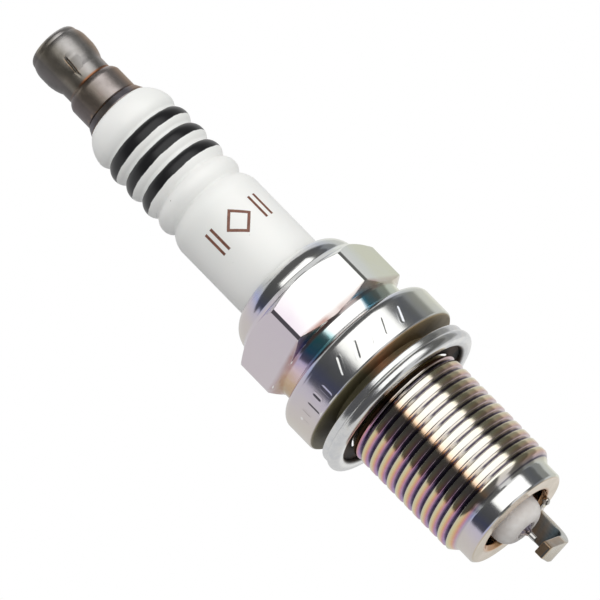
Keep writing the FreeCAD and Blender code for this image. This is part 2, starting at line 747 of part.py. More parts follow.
doc.recompute()
broken = [item.Name for item in doc.Objects if failed(item)]
if broken:
    raise RuntimeError(f"not computed: {broken}")
pieces = {name: doc.getObjectsByLabel(name)[0] for name in NODES}
for name, piece in pieces.items():
    if piece.Shape.isNull() or not piece.Shape.isValid() or not piece.Shape.Solids:
        raise RuntimeError(f"{name} has no valid solid")
os.makedirs("parts", exist_ok=True)
for name, piece in pieces.items():
    piece.Shape.exportStep(f"parts/{name}.step")
    print(f"{name}: {piece.Shape.Volume:.1f} mm3, {len(piece.Shape.Solids)} solid")
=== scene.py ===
import math

import bmesh
import bpy
import numpy as np
from mathutils import Matrix, Vector


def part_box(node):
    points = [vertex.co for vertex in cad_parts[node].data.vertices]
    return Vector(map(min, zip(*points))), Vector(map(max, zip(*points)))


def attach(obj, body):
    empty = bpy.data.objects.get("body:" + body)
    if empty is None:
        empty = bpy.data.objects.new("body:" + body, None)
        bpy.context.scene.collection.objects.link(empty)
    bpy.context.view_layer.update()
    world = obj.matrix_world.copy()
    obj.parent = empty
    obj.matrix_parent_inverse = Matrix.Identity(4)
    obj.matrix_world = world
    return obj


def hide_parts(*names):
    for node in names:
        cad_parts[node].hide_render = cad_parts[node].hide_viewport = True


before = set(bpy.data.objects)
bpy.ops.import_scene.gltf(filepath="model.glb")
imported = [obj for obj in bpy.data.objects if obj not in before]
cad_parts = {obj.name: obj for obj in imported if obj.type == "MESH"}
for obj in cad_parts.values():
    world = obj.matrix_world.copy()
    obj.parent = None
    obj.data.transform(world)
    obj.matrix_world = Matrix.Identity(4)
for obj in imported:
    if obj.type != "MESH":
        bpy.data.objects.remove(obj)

# Spark plug with its axis on Z and its firing end down. Lengths are in millimetres until a mesh is made.
# Sections are (radius, height) pairs that go up on the outside, so that their turned faces look outwards.
# FRONT is the turn about Z that the studio's lights, the film's colours and the light and shade painted into
# colours are placed from.
MM = 0.001
TURN = 2 * math.pi
LEFT, RIGHT = 1, -1
ARC_STEP = 7.0
EDGE = 0.06
FRONT = math.radians(-75.0)

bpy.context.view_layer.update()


def span(node):
    """Lowest height, highest height and outer radius of a node."""
    low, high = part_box(node)
    return low[2] / MM, high[2] / MM, high[0] / MM


SHELL_LOW, SHELL_HIGH, FLANGE_RADIUS = span("metal_shell")
GASKET_LOW, GASKET_HIGH, GASKET_RADIUS = span("gasket")
NOSE_LOW, HEAD_HIGH, COLLAR_RADIUS = span("insulator")
NUT_LOW, NUT_HIGH, NUT_RADIUS = span("terminal_nut")
STUD_LOW, STUD_HIGH, STUD_FLANGE = span("terminal_stud")
WIRE_LOW, WIRE_HIGH, WIRE_RADIUS = span("iridium_tip")
ELECTRODE_LOW, ELECTRODE_HIGH, ELECTRODE_HEAD = span("center_electrode")
STRAP_CORNERS = np.array(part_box("ground_electrode")) / MM
STRAP_END, STRAP_LOW = STRAP_CORNERS[0][1:]
STRAP_HALF, STRAP_OUTER = STRAP_CORNERS[1][:2]

PILOT_RADIUS = 6.2
THREAD = {"crest": 7.0, "root": 6.58, "pitch": 1.25, "start": -18.75, "root_width": 0.03, "root_round": 0.05,
          "crest_round": 0.15, "end": PILOT_RADIUS}
THREAD_LOW, THREAD_HIGH = SHELL_LOW + 2.0, -2.5
STUD_THREAD = {"crest": 2.0, "root": 1.6, "pitch": 0.7, "start": 40.67, "root_width": 0.09,
               "root_round": 0.06, "crest_round": 0.06, "end": 1.58}
THREAD_SHARES = [0.0, 0.02, 0.045, 0.09, 0.12, 0.15, 0.18, 0.21, 0.25, 0.36]
THREAD_SHARES += [1 - share for share in THREAD_SHARES[:0:-1]]
STUD_SHARES = [0.0, 0.06, 0.2, 0.34, 0.4, 0.45, 0.55, 0.6, 0.66, 0.8, 0.94]
FLANGE_TOP = 3.45
NECK_LOW, NECK_RADIUS = 4.95, 7.83
HALF_FLATS = 8.0
HEX_CORNER = math.radians(26.8)
HEX_LOW, HEX_HIGH, HEX_REACH = 6.1, 12.42, 9.1
INSULATOR_RADIUS = 5.26
FIRST_NOTCH, RIB_PITCH, RIBS = 26.1, 2.43, 4
COLLAR_TOP, STUD_FLANGE_TOP = 43.6, 40.22


# ---------------------------------------- sections

def arc(start, end, radius, side):
    """Points after start on an arc to end. side is the side of the path that the arc's centre is on."""
    start, end = np.array(start), np.array(end)
    chord = end - start
    length = np.hypot(*chord)
    across = np.array((-chord[1], chord[0])) / length
    centre = (start + end) / 2 + across * side * math.sqrt(max(radius**2 - length**2 / 4, 0))
    first = math.atan2(*(start - centre)[::-1])
    sweep = side * 2 * math.asin(min(1, length / 2 / radius))
    count = max(2, math.ceil(abs(math.degrees(sweep)) / ARC_STEP))
    angles = first + sweep * np.arange(1, count + 1) / count
    return [tuple(centre + radius * np.array((math.cos(a), math.sin(a)))) for a in angles]


def soften(points, edge):
    """Rounds the sharp corners of a section, with a point beside each so that flat faces stay flat."""
    soft = []
    for before, here, after in zip([points[-1]] + points, points, points[1:] + points[:1]):
        before, here, after = (np.array(p) for p in (before, here, after))
        into, out = here - before, after - here
        reach_in, reach_out = np.hypot(*into), np.hypot(*out)
        into, out = into / reach_in, out / reach_out
        if into @ out > math.cos(math.radians(15)) or here[0] < 1e-6:
            soft.append(tuple(here))
            continue
        size = min(edge, 0.3 * reach_in, 0.3 * reach_out)
        entry, leave = here - into * size, here + out * size
        if reach_in > 6 * size:
            soft.append(tuple(entry - into * size))
        for t in (0, 0.25, 0.5, 0.75, 1):
            soft.append(tuple((1 - t) ** 2 * entry + 2 * t * (1 - t) * here + t**2 * leave))
        if reach_out > 6 * size:
            soft.append(tuple(leave + out * size))
    return soft


def section(outline, edge=EDGE, step=lambda radius, height: 1.5):
    """Points of a closed section from corners (radius, height) and arcs (radius, height, bend, side)."""
    points = []
    for i, (radius, height, *bend) in enumerate(outline):
        if bend:
            points += arc(outline[i - 1][:2], (radius, height), *bend)
        else:
            points.append((radius, height))
    fine = []
    rounded = soften(points, edge)
    for here, after in zip(rounded, rounded[1:] + rounded[:1]):
        gap = math.dist(here, after)
        pieces = math.ceil(gap / step((here[0] + after[0]) / 2, (here[1] + after[1]) / 2) - 1e-9)
        if here[0] < 1e-6 and after[0] < 1e-6:
            pieces = 1
        for k in range(max(pieces, 1)):
            share = k / max(pieces, 1)
            fine.append((here[0] + (after[0] - here[0]) * share, here[1] + (after[1] - here[1]) * share))
    return fine


# ---------------------------------------- meshes

def strip(below, above):
    """Faces between two rings, where the finer ring has a whole number of points per coarser one."""
    n, m = len(below), len(above)
    if n == 1 and m == 1:
        return []
    if n == 1:
        return [[below[0], above[(i + 1) % m], above[i]] for i in range(m)]
    if m == 1:
        return [[below[i], below[(i + 1) % n], above[0]] for i in range(n)]
    coarse = min(n, m)
    faces = []
    for i in range(coarse):
        low = [below[(i * n // coarse + k) % n] for k in range(n // coarse + 1)]
        high = [above[(i * m // coarse + k) % m] for k in range(m // coarse + 1)]
        faces.append(low + high[::-1])
    return faces


SMALL_COLUMNS = 96


def small(radius, height):
    """Columns of a small turned piece."""
    return SMALL_COLUMNS


def even_ring(count, height):
    """Angles of one ring's points."""
    return HEX_CORNER + TURN * np.arange(count) / count


def lathe(points, columns=lambda radius, height: 192, shape=None, ring=even_ring, gap=None):
    """Vertices and faces of a section turned about Z. shape(radius, height, angle) gives the real radius.
    The wall between the two heights of gap is left open."""
    vertices, rings = [], []
    for radius, height in points:
        count = 1 if radius < 1e-6 else columns(radius, height)
        angle = ring(count, height)
        reach = np.full(count, radius)
        if shape and count > 1:
            reach = shape(reach, height, angle)
        rings.append(list(range(len(vertices), len(vertices) + count)))
        vertices += zip(reach * np.cos(angle), reach * np.sin(angle), [height] * count)
    faces = []
    heights = [height for _, height in points]
    for i, below in enumerate(rings):
        if (heights[i], heights[(i + 1) % len(rings)]) != gap:
            faces += strip(below, rings[(i + 1) % len(rings)])
    return vertices, faces


def thread_wall(thread, low, high, taper, shares, count):
    """Wall of a thread between two heights, as rows that follow the helix. shares places one turn's rows
    across the pitch, and taper is the length over which the crest comes down to the ends' radius."""
    per_turn = len(shares)
    first = math.floor((low - thread["start"]) / thread["pitch"]) - 2
    turns = math.ceil((high - low) / thread["pitch"]) + 4
    angle = even_ring(count, 0)
    rows = []
    for row in range(turns * per_turn):
        turn, place = divmod(row, per_turn)
        level = thread["start"] + (first + turn + shares[place] + angle / TURN) * thread["pitch"]
        height = np.clip(level, low, high)
        slope = (thread["crest"] - thread["end"]) / taper
        limit = thread["end"] + slope * np.minimum(height - low, high - height)
        reach = soft_min(limit, thread_radius(height, angle, thread), 0.05)
        reach = np.where((height == low) | (height == high), thread["end"], np.maximum(reach, thread["end"]))
        rows.append(np.stack([reach * np.cos(angle), reach * np.sin(angle), height], axis=1))
    vertices = [tuple(point) for row in rows for point in row]
    last = len(rows) - 1
    faces = []
    for row in range(last):
        for i in range(count):
            shift = per_turn if i == count - 1 else 0
            here, beside = (row * count + i), (min(row + shift, last) * count + (i + 1) % count)
            above_beside = min(row + 1 + shift, last) * count + (i + 1) % count
            faces.append([here, beside, above_beside, here + count])
    return vertices, faces


def weld(mesh):
    """Joins points in one place, which also removes faces with no area."""
    shape = bmesh.new()
    shape.from_mesh(mesh)
    bmesh.ops.remove_doubles(shape, verts=shape.verts, dist=0.002 * MM)
    shape.to_mesh(mesh)
    shape.free()


def piece(name, parts, body, material, replaces=()):
    """Makes one object from lists of (vertices, faces) in millimetres, riding on a body."""
    vertices, faces = [], []
    for some_vertices, some_faces in parts:
        start = len(vertices)
        vertices += some_vertices
        faces += [[start + i for i in face] for face in some_faces]
    mesh = bpy.data.meshes.new(name)
    mesh.from_pydata((np.array(vertices) * MM).tolist(), [], faces)
    weld(mesh)
    mesh.shade_smooth()
    mesh.materials.append(material)
    made = bpy.data.objects.new(name, mesh)
    bpy.context.collection.objects.link(made)
    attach(made, body)
    if replaces:
        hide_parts(*replaces)
    return made


def soft_min(a, b, width):
    """The lower of two values, rounded where they meet."""
    share = np.clip(0.5 + 0.5 * (b - a) / width, 0, 1)
    return b * (1 - share) + a * share - width * share * (1 - share)


def soft_step(value):
    value = np.clip(value, 0, 1)
    return value * value * (3 - 2 * value)


def wrap(angle):
    """The angle between -half a turn and half a turn."""
    return (angle + math.pi) % TURN - math.pi


def thread_radius(height, angle, thread):
    """Radius of a right-handed 60 degree thread with its root and crest a little rounded."""
    phase = (height - thread["start"]) / thread["pitch"] - angle / TURN
    off = np.abs(phase - np.round(phase)) * thread["pitch"]
    flank = thread["root"] + (off - thread["root_width"] / 2) * math.tan(math.radians(60))
    grooved = -soft_min(-flank, -thread["root"], thread["root_round"])
    return soft_min(grooved, thread["crest"], thread["crest_round"])


# ---------------------------------------- metal shell

# Ticks stamped into the flange: (turn from the front, height, half length, lean).
TICK_WIDTH, TICK_DEPTH, TICK_RIM = 0.15, 0.07, 0.012
SLANT_TICKS = [(turn, 1.85, 0.85, 27.0) for turn in (-10.5, 3.0, 14.5, 26.0, 39.0)]
SHORT_TICKS = [(-58.0 + 7.5 * k, 1.25 + 0.35 * (k % 2), 0.4 + 0.18 * (k % 3), 0.0) for k in range(5)]


def stamped(radius, height, angle):
    """Radius of the flange's wall with its stamped ticks and the low rims round them."""
    for turn, middle, half_length, lean in SLANT_TICKS + SHORT_TICKS:
        across = wrap(angle - FRONT - math.radians(turn)) * FLANGE_RADIUS
        up = height - middle
        tilt = math.radians(lean)
        along = up * math.cos(tilt) + across * math.sin(tilt)
        beside = across * math.cos(tilt) - up * math.sin(tilt)
        away = np.hypot(beside, np.maximum(np.abs(along) - half_length, 0)) / TICK_WIDTH
        radius = radius - TICK_DEPTH * soft_step(1.15 - away)
        radius = radius + TICK_RIM * soft_step(1 - np.abs(away - 1.5) * 2)
    return radius


def shell_shape(radius, height, angle):
    if radius[0] > 7 and HEX_LOW < height < HEX_HIGH:
        off = wrap((angle - HEX_CORNER) * 6) / 6
        flat = HALF_FLATS / np.cos(np.pi / 6 - np.abs(off))
        return soft_min(radius, flat, 0.07)
    if radius[0] > FLANGE_RADIUS - 0.01:
        return stamped(radius, height, angle)
    return radius


FLANGE_COLUMNS, HEX_COLUMNS, WALL_COLUMNS = 576, 384, 192


def shell_columns(radius, height):
    if radius > FLANGE_RADIUS - 0.01 and height > 0:
        return FLANGE_COLUMNS
    if radius > 7 and HEX_LOW + 0.1 < height < HEX_HIGH:
        return HEX_COLUMNS
    return WALL_COLUMNS if radius > 5 else SMALL_COLUMNS


def shell_step(radius, height):
    if radius > 6 and THREAD_LOW < height < THREAD_HIGH:
        return 100
    if radius > FLANGE_RADIUS - 0.01 and 0.5 < height < FLANGE_TOP - 0.25:
        return 0.1
    if radius > 7.4 and HEX_LOW < height < HEX_HIGH:
        return 0.6 if radius > HEX_REACH - 0.05 else 0.06
    return 1.5


def shell_ring(count, height):
    """Ring angles, drawn together at the blunted corners of the hexagon."""
    angles = even_ring(count, height)
    if count != HEX_COLUMNS:
        return angles
    near = np.array([0, 0.5, 1.0, 1.35, 1.54, 1.75, 2.1, 2.6])
    middle = np.linspace(2.6, 57.4, 51)[1:-1]
    sector = np.concatenate([near, middle, 60 - near[:0:-1]])
    return HEX_CORNER + np.radians([60 * k + offset for k in range(6) for offset in sector])


def metal_shell(material):
    shoulder = FLANGE_RADIUS - 0.95
    mouth = INSULATOR_RADIUS + 0.04
    upper_bore, lower_bore, nose_bore = 6.3, 4.65, 3.95
    outline = [
        (nose_bore, SHELL_LOW + 0.4),
        (nose_bore + 0.4, SHELL_LOW),
        (PILOT_RADIUS - 0.25, SHELL_LOW),
        (PILOT_RADIUS, SHELL_LOW + 0.25),
        (PILOT_RADIUS, THREAD_LOW),
        (PILOT_RADIUS, THREAD_HIGH),
        (PILOT_RADIUS, 0),
        (FLANGE_RADIUS - 0.25, 0),
        (FLANGE_RADIUS, 0.25),
        (FLANGE_RADIUS, FLANGE_TOP),
        (shoulder, 4.53, 1.45, LEFT),
        (NECK_RADIUS + 0.25, NECK_LOW - 0.3),
        (NECK_RADIUS, NECK_LOW, 0.4, RIGHT),
        (NECK_RADIUS, HEX_LOW),
        (8.05, 6.47),
        (HEX_REACH, 7.05),
        (HEX_REACH, 11.1),
        (8.0, 11.85),
        (7.47, HEX_HIGH),
        (mouth, SHELL_HIGH, 2.85, LEFT),
        (mouth, SHELL_HIGH - 0.75),
        (upper_bore, 13.02, 1.3, RIGHT),
        (upper_bore, 4.25),
        (lower_bore, 3.3),
        (lower_bore, -8.2),
        (nose_bore, -8.6),
    ]
    gap = (THREAD_LOW, THREAD_HIGH)
    turned = lathe(section(outline, EDGE, shell_step), shell_columns, shell_shape, shell_ring, gap)
    thread = thread_wall(THREAD, THREAD_LOW, THREAD_HIGH, 0.95, THREAD_SHARES, WALL_COLUMNS)
    return piece("shell_body", [turned, thread], "plug", material, ["metal_shell"])


def gasket(material):
    seam = GASKET_LOW + (GASKET_HIGH - GASKET_LOW) * 0.6
    upper = GASKET_RADIUS - 0.22
    hole = 6.7
    outline = [
        (hole, GASKET_LOW + 0.5),
        (8.05, GASKET_LOW + 0.5),
        (8.5, GASKET_LOW, 0.5, LEFT),
        (GASKET_RADIUS - 0.65, GASKET_LOW),
        (GASKET_RADIUS, GASKET_LOW + 0.65, 0.655, LEFT),
        (GASKET_RADIUS - 0.3, seam, 0.655, LEFT),
        (upper - 0.02, seam + 0.14),
        (upper, GASKET_HIGH - 0.34, 1.4, LEFT),
        (upper - 0.32, GASKET_HIGH, 0.33, LEFT),
        (8.8, GASKET_HIGH),
        (8.35, GASKET_HIGH - 0.45, 0.46, LEFT),
        (8.35, GASKET_LOW + 0.97),
        (7.9, GASKET_LOW + 0.85),
        (hole, GASKET_LOW + 0.85),
    ]
    turned = lathe(section(outline, 0.04), lambda radius, height: 256)
    return piece("gasket_ring", [turned], "seal_ring", material, ["gasket"])


# ---------------------------------------- insulator

def insulator(material):
    seat = -8.25
    waist, notch = 4.6, 4.64
    bore, electrode_hole = 1.95, 1.1
    outline = [
        (electrode_hole, NOSE_LOW),
        (electrode_hole + 0.2, NOSE_LOW),
        (2.86, NOSE_LOW + 1.56, 1.57, LEFT),
        (3.55, seat - 0.45),
        (waist, seat + 0.35),
        (waist, 3.45),
        (COLLAR_RADIUS, 4.4),
        (COLLAR_RADIUS, 9.0),
        (INSULATOR_RADIUS - 0.1, 10.2, 1.5, LEFT),
        (INSULATOR_RADIUS, SHELL_HIGH + 0.1),
        (INSULATOR_RADIUS, 24.4),
        (notch + 0.02, FIRST_NOTCH - 0.25, 3.2, LEFT),
        (notch, FIRST_NOTCH + 0.2, 0.3, RIGHT),
    ]
    for rib in range(RIBS):
        low = FIRST_NOTCH + RIB_PITCH * rib
        outline += [
            (5.08, low + RIB_PITCH * 0.45, 1.15, LEFT),
            (notch, low + RIB_PITCH - 0.2, 1.5, LEFT),
            (notch, low + RIB_PITCH + 0.2, 0.3, RIGHT),
        ]
    outline += [
        (4.97, HEAD_HIGH - 2.5, 1.2, LEFT),
        (3.67, HEAD_HIGH, 3.6, LEFT),
        (bore, HEAD_HIGH),
        (bore, -5.2),
        (electrode_hole, -6.0),
    ]
    turned = lathe(section(outline, 0.08, lambda radius, height: 1.0))
    return piece("insulator_ceramic", [turned], "plug", material, ["insulator"])


# ---------------------------------------- terminal

DENT_TURN, DENT_LEAN = math.radians(31 - 90), math.radians(9)
DENT_HALF, DENT_LOW, DENT_HIGH, DENT_DEPTH = 0.85, 44.6, 47.2, 0.16
DENT_FADE, DENT_SLOPE, DENT_TURNED = 0.9, 0.26, 46.3
SLIT_HALF, SLIT_DEPTH = 0.1, 0.24
BARREL_RADIUS, NUT_NECK = 3.175, 2.7


def nut_shape(radius, height, angle):
    """Presses the staking dent into the barrel's outside, with a slit along its left edge."""
    if radius[0] < NUT_NECK - 0.1:
        return radius
    turn = wrap(angle - DENT_TURN)
    middle, straight = (DENT_LOW + DENT_HIGH) / 2, (DENT_HIGH - DENT_LOW) / 2 - DENT_HALF
    aside = radius * np.sin(turn)
    away = np.hypot(aside, max(abs(height - middle) - straight, 0))
    inside = soft_step((DENT_HALF - away) / 0.1 + 0.5) * (np.abs(turn) < 1)
    inside = inside * soft_step((DENT_HIGH - height) / DENT_FADE) * soft_step((height - DENT_LOW) / 0.3)
    off_face = np.clip(turn + DENT_LEAN, -1, 1)
    depth = DENT_DEPTH + DENT_SLOPE * max(DENT_TURNED - height, 0)
    pressed = np.minimum(radius, (BARREL_RADIUS - depth) / np.cos(off_face))
    slit = soft_step(1.5 - np.abs(aside + DENT_HALF) / SLIT_HALF) * (np.abs(turn) < 1)
    slit = slit * soft_step((DENT_HIGH - 0.3 - height) / 0.6) * soft_step((height - DENT_LOW) / 0.4)
    return radius + (pressed - radius) * inside - SLIT_DEPTH * slit


def terminal_nut(material):
    bore = 2.05
    outline = [
        (bore, NUT_LOW),
        (NUT_RADIUS - 0.15, NUT_LOW),
        (NUT_RADIUS, NUT_LOW + 0.15),
        (NUT_RADIUS, COLLAR_TOP - 0.75),
        (NUT_NECK, COLLAR_TOP, 1.4, LEFT),
        (NUT_NECK, 44.95),
        (BARREL_RADIUS, 46.7, 4.6, LEFT),
        (BARREL_RADIUS, 47.7),
        (BARREL_RADIUS - 0.3, NUT_HIGH - 0.8, 2.6, LEFT),
        (BARREL_RADIUS - 0.95, NUT_HIGH, 0.8, LEFT),
        (0, NUT_HIGH),
        (0, STUD_HIGH + 1.63),
        (bore, STUD_HIGH + 0.5),
    ]

    def step(radius, height):
        return 0.09 if radius > NUT_NECK - 0.1 and height > DENT_LOW - 0.2 else 0.5

    turned = lathe(section(outline, 0.05, step), lambda radius, height: 256, nut_shape)
    return piece("terminal_barrel", [turned], "nut", material, ["terminal_nut"])


def terminal_stud(material):
    seat = HEAD_HIGH + 0.02
    shank, root = 1.7, STUD_THREAD["end"]
    thread_low, thread_high = STUD_FLANGE_TOP + 0.7, STUD_HIGH - 0.1
    outline = [
        (0, STUD_LOW),
        (shank, STUD_LOW),
        (shank, seat),
        (STUD_FLANGE, seat),
        (STUD_FLANGE - 0.02, seat + 0.1),
        (3.3, STUD_FLANGE_TOP),
        (root, STUD_FLANGE_TOP),
        (root, thread_low),
        (root, thread_high),
        (root - 0.1, STUD_HIGH),
        (0, STUD_HIGH),
    ]
    gap = (thread_low, thread_high)
    turned = lathe(section(outline, 0.05, lambda radius, height: 100), small, gap=gap)
    thread = thread_wall(STUD_THREAD, *gap, 0.4, STUD_SHARES, SMALL_COLUMNS)
    return piece("terminal_post", [turned, thread], "plug", material, ["terminal_stud"])


# ---------------------------------------- firing end

def centre_electrode(nickel, iridium):
    low, high = ELECTRODE_LOW, ELECTRODE_HIGH
    step = high - 2.4
    rod = 1.05
    outline = [
        (0, low),
        (0.43, low),
        (0.48, NOSE_LOW - 0.15),
        (rod, NOSE_LOW + 0.35),
        (rod, step + 0.1),
        (ELECTRODE_HEAD, step + 0.95),
        (ELECTRODE_HEAD, step + 1.8),
        (rod, high),
        (0, high),
    ]
    turned = lathe(section(outline, 0.03), small)
    piece("electrode_cone", [turned], "plug", nickel, ["center_electrode"])
    fillet = [(0, WIRE_HIGH), (0.32, WIRE_HIGH), (0.41, low, 0.6, LEFT), (0, low)]
    turned = lathe(section(fillet, 0.02), small)
    piece("wire_weld", [turned], "plug", nickel, ["tip_weld"])
    wire = [(0, WIRE_LOW), (WIRE_RADIUS, WIRE_LOW), (WIRE_RADIUS, WIRE_HIGH), (0, WIRE_HIGH)]
    turned = lathe(section(wire, 0.05, lambda radius, height: 0.2), small)
    piece("firing_wire", [turned], "plug", iridium, ["iridium_tip"])


STRAP_THICK = 1.05
STRAP_TIP_HALF, STRAP_TAPER = 0.75, 2.3
STRAP_INNER_BEND = 1.1


def strap_loop(centre, along, half_width, half_thick, corner=0.12):
    """A rounded rectangle across the strap. centre and along are (y, z); the width runs on X."""
    across = np.array((along[1], -along[0]))
    loop = []
    for quarter in range(4):
        side_x = 1 if quarter in (0, 3) else -1
        side_n = 1 if quarter in (0, 1) else -1
        for k in range(5):
            angle = (quarter + k / 4) * math.pi / 2
            x = side_x * (half_width - corner) + corner * math.cos(angle)
            n = side_n * (half_thick - corner) + corner * math.sin(angle)
            y, z = np.array(centre) + across * n
            loop.append((x, y, z))
    return loop


def swept(loops, closed=False):
    """Vertices and faces of a skin through loops of equal length. Its last loop joins the first one if it is
    closed, and otherwise both ends are capped."""
    count = len(loops[0])
    vertices = [tuple(point) for loop in loops for point in loop]
    rings = [list(range(count * i, count * (i + 1))) for i in range(len(loops))]
    after = rings[1:] + rings[:1] * closed
    faces = [face for below, above in zip(rings, after) for face in strip(below, above)]
    return vertices, faces if closed else [rings[0][::-1]] + faces + [rings[-1]]


def strap_stations():
    """Stations down the leg, round the bend and out along the arm: (y, z), direction and half width."""
    half = STRAP_THICK / 2
    leg_y, arm_z = STRAP_OUTER - half, STRAP_LOW + half
    radius = STRAP_INNER_BEND + half
    centre = (leg_y - radius, arm_z + radius)
    stations = [((leg_y, z), (0, -1), STRAP_HALF) for z in np.linspace(SHELL_LOW, centre[1], 7)]
    for angle in np.radians(np.linspace(0, 90, 13))[1:]:
        y = centre[0] + radius * math.cos(angle)
        z = centre[1] - radius * math.sin(angle)
        stations.append(((y, z), (-math.sin(angle), -math.cos(angle)), STRAP_HALF))
    for y in np.concatenate([[STRAP_TAPER + 0.03], np.linspace(STRAP_TAPER - 0.03, STRAP_END, 9)]):
        share = max(0, (STRAP_TAPER - y) / (STRAP_TAPER - STRAP_END))
        stations.append(((y, arm_z), (-1, 0), STRAP_HALF + (STRAP_TIP_HALF - STRAP_HALF) * share))
    return stations


def ground_electrode(outer_material, inner_shade_material, cut_material):
    """The strap, with painted shade on the side that faces the tip and on its cut end, in a darker, bluer
    copy of its nickel, and with brighter sheared sides.
    """
    half = STRAP_THICK / 2
    loops = [strap_loop(at, along, width, half) for at, along, width in strap_stations()]
    (y, z), along, width = strap_stations()[-1]
    loops[-1] = strap_loop((y + 0.05, z), along, width, half)
    loops.append(strap_loop((y, z), along, width - 0.05, half - 0.05, 0.08))
    loops.append(strap_loop((y, z), along, width - 0.1, half - 0.1, 0.05))
    made = piece("ground_strap", [swept(loops)], "plug", outer_material,
                 ["ground_electrode"])
    made.data.materials.append(inner_shade_material)
    made.data.materials.append(cut_material)
    for face in made.data.polygons:
        _, y, z = (value / MM for value in face.center)
        sheared = y < STRAP_TAPER and z < STRAP_LOW + STRAP_THICK + 0.1 and abs(face.normal.x) > 0.8
        if sheared:
            face.material_index = 2
        elif face.normal.z - face.normal.y > 0.6 or y < STRAP_END + 0.1:
            face.material_index = 1


# The squeezed rim round the strap's foot: (height above the shell's end, reach past the strap).
RIM_LOOPS = [(0.01, 0.3), (-0.12, 0.27), (-0.22, 0.15), (-0.27, 0.0), (-0.2, -0.12), (0.01, -0.12)]
BEAD_RADIUS = 0.42
STRAP_MIDDLE = STRAP_OUTER - STRAP_THICK / 2


def squeezed_rim():
    """Closed lumpy ring of metal round the strap's foot."""
    loops = []
    for level, grow in RIM_LOOPS:
        centre = (STRAP_MIDDLE, SHELL_LOW + level)
        loops.append([])
        for x, y, z in strap_loop(centre, (0, -1), STRAP_HALF + grow, STRAP_THICK / 2 + grow, 0.3):
            wave = 0.05 * math.sin(5.1 * x + 1.3) * math.cos(4.3 * y) * (grow > 0)
            loops[-1].append((x * (1 + wave), y + wave * 0.8, z))
    return swept(loops, closed=True)


def lumpy_bead(centre):
    """Drop of metal that is nearly round."""
    outline = [(0, -BEAD_RADIUS), (0, BEAD_RADIUS, BEAD_RADIUS, LEFT)]
    ball, faces = lathe(section(outline, 0.01), lambda radius, height: 32)
    vertices = []
    for x, y, z in ball:
        lump = 1 + 0.06 * math.sin(9 * x + 2) * math.cos(8 * y + 5 * z)
        stretched = (x * lump * 1.08, y * lump * 0.95, z * lump)
        vertices.append(tuple(middle + offset for middle, offset in zip(centre, stretched)))
    return vertices, faces


def smear(start, end):
    """Thin run of metal between two points, narrower in the middle."""
    loops = []
    for share in np.linspace(0, 1, 9):
        at = start + (end - start) * share
        size = 0.24 - 0.08 * math.sin(share * math.pi)
        loops.append([at + size * np.array((-0.45 * math.cos(a), 0.9 * math.cos(a), 0.8 * math.sin(a)))
                      for a in TURN * np.arange(16) / 16])
    return swept(loops)


def weld_flash(material):
    """Rim of squeezed metal round the strap's foot, and a bead with its smear beside it."""
    level = SHELL_LOW - 0.05
    bead_x, bead_y = STRAP_HALF + 1.35, STRAP_OUTER - STRAP_THICK - 0.75
    run = smear(np.array((bead_x, bead_y, level)), np.array((STRAP_HALF + 0.1, STRAP_MIDDLE - 0.45, level)))
    parts = [squeezed_rim(), lumpy_bead((bead_x, bead_y, SHELL_LOW - 0.2)), run]
    return piece("weld_rim", parts, "plug", material, ["weld_flash"])


# ---------------------------------------- materials

class Nodes:
    """A node tree being built. Most methods add a node and return its output."""

    def __init__(self, tree):
        self.tree = tree

    def node(self, kind, **settings):
        made = self.tree.nodes.new(kind)
        for key, value in settings.items():
            setattr(made, key, value)
        return made

    def join(self, value, socket):
        if isinstance(value, bpy.types.NodeSocket):
            self.tree.links.new(value, socket)
        else:
            socket.default_value = value

    def math(self, operation, *values, clamp=False):
        made = self.node("ShaderNodeMath", operation=operation, use_clamp=clamp)
        for value, socket in zip(values, made.inputs):
            self.join(value, socket)
        return made.outputs[0]

    def vector(self, operation, *values, scale=None):
        made = self.node("ShaderNodeVectorMath", operation=operation)
        for value, socket in zip(values, made.inputs):
            self.join(value, socket)
        if scale is not None:
            made.inputs["Scale"].default_value = scale
        return made.outputs["Value" if operation == "DOT_PRODUCT" else "Vector"]

    def times(self, first, second):
        return self.math("MULTIPLY", first, second)

    def side(self, place):
        """How far a place is to the right of the axis, seen from the front."""
        return self.vector("DOT_PRODUCT", place, (-math.sin(FRONT), math.cos(FRONT), 0.0))

    def range(self, value, low, high, to_low, to_high):
        made = self.node("ShaderNodeMapRange", interpolation_type="SMOOTHSTEP")
        for part, socket in zip((value, low, high, to_low, to_high), made.inputs):
            self.join(part, socket)
        return made.outputs[0]

    def between(self, value, rise, fall):
        """1 between two soft edges and 0 outside. Each edge is (from, to)."""
        return self.times(self.range(value, *rise, 0.0, 1.0), self.range(value, *fall, 1.0, 0.0))

    def mix(self, share, first, second, blend="MIX"):
        made = self.node("ShaderNodeMix", data_type="RGBA", blend_type=blend)
        self.join(share, made.inputs[0])
        for colour, socket in ((first, made.inputs[6]), (second, made.inputs[7])):
            self.join((*colour, 1) if isinstance(colour, tuple) else colour, socket)
        return made.outputs[2]


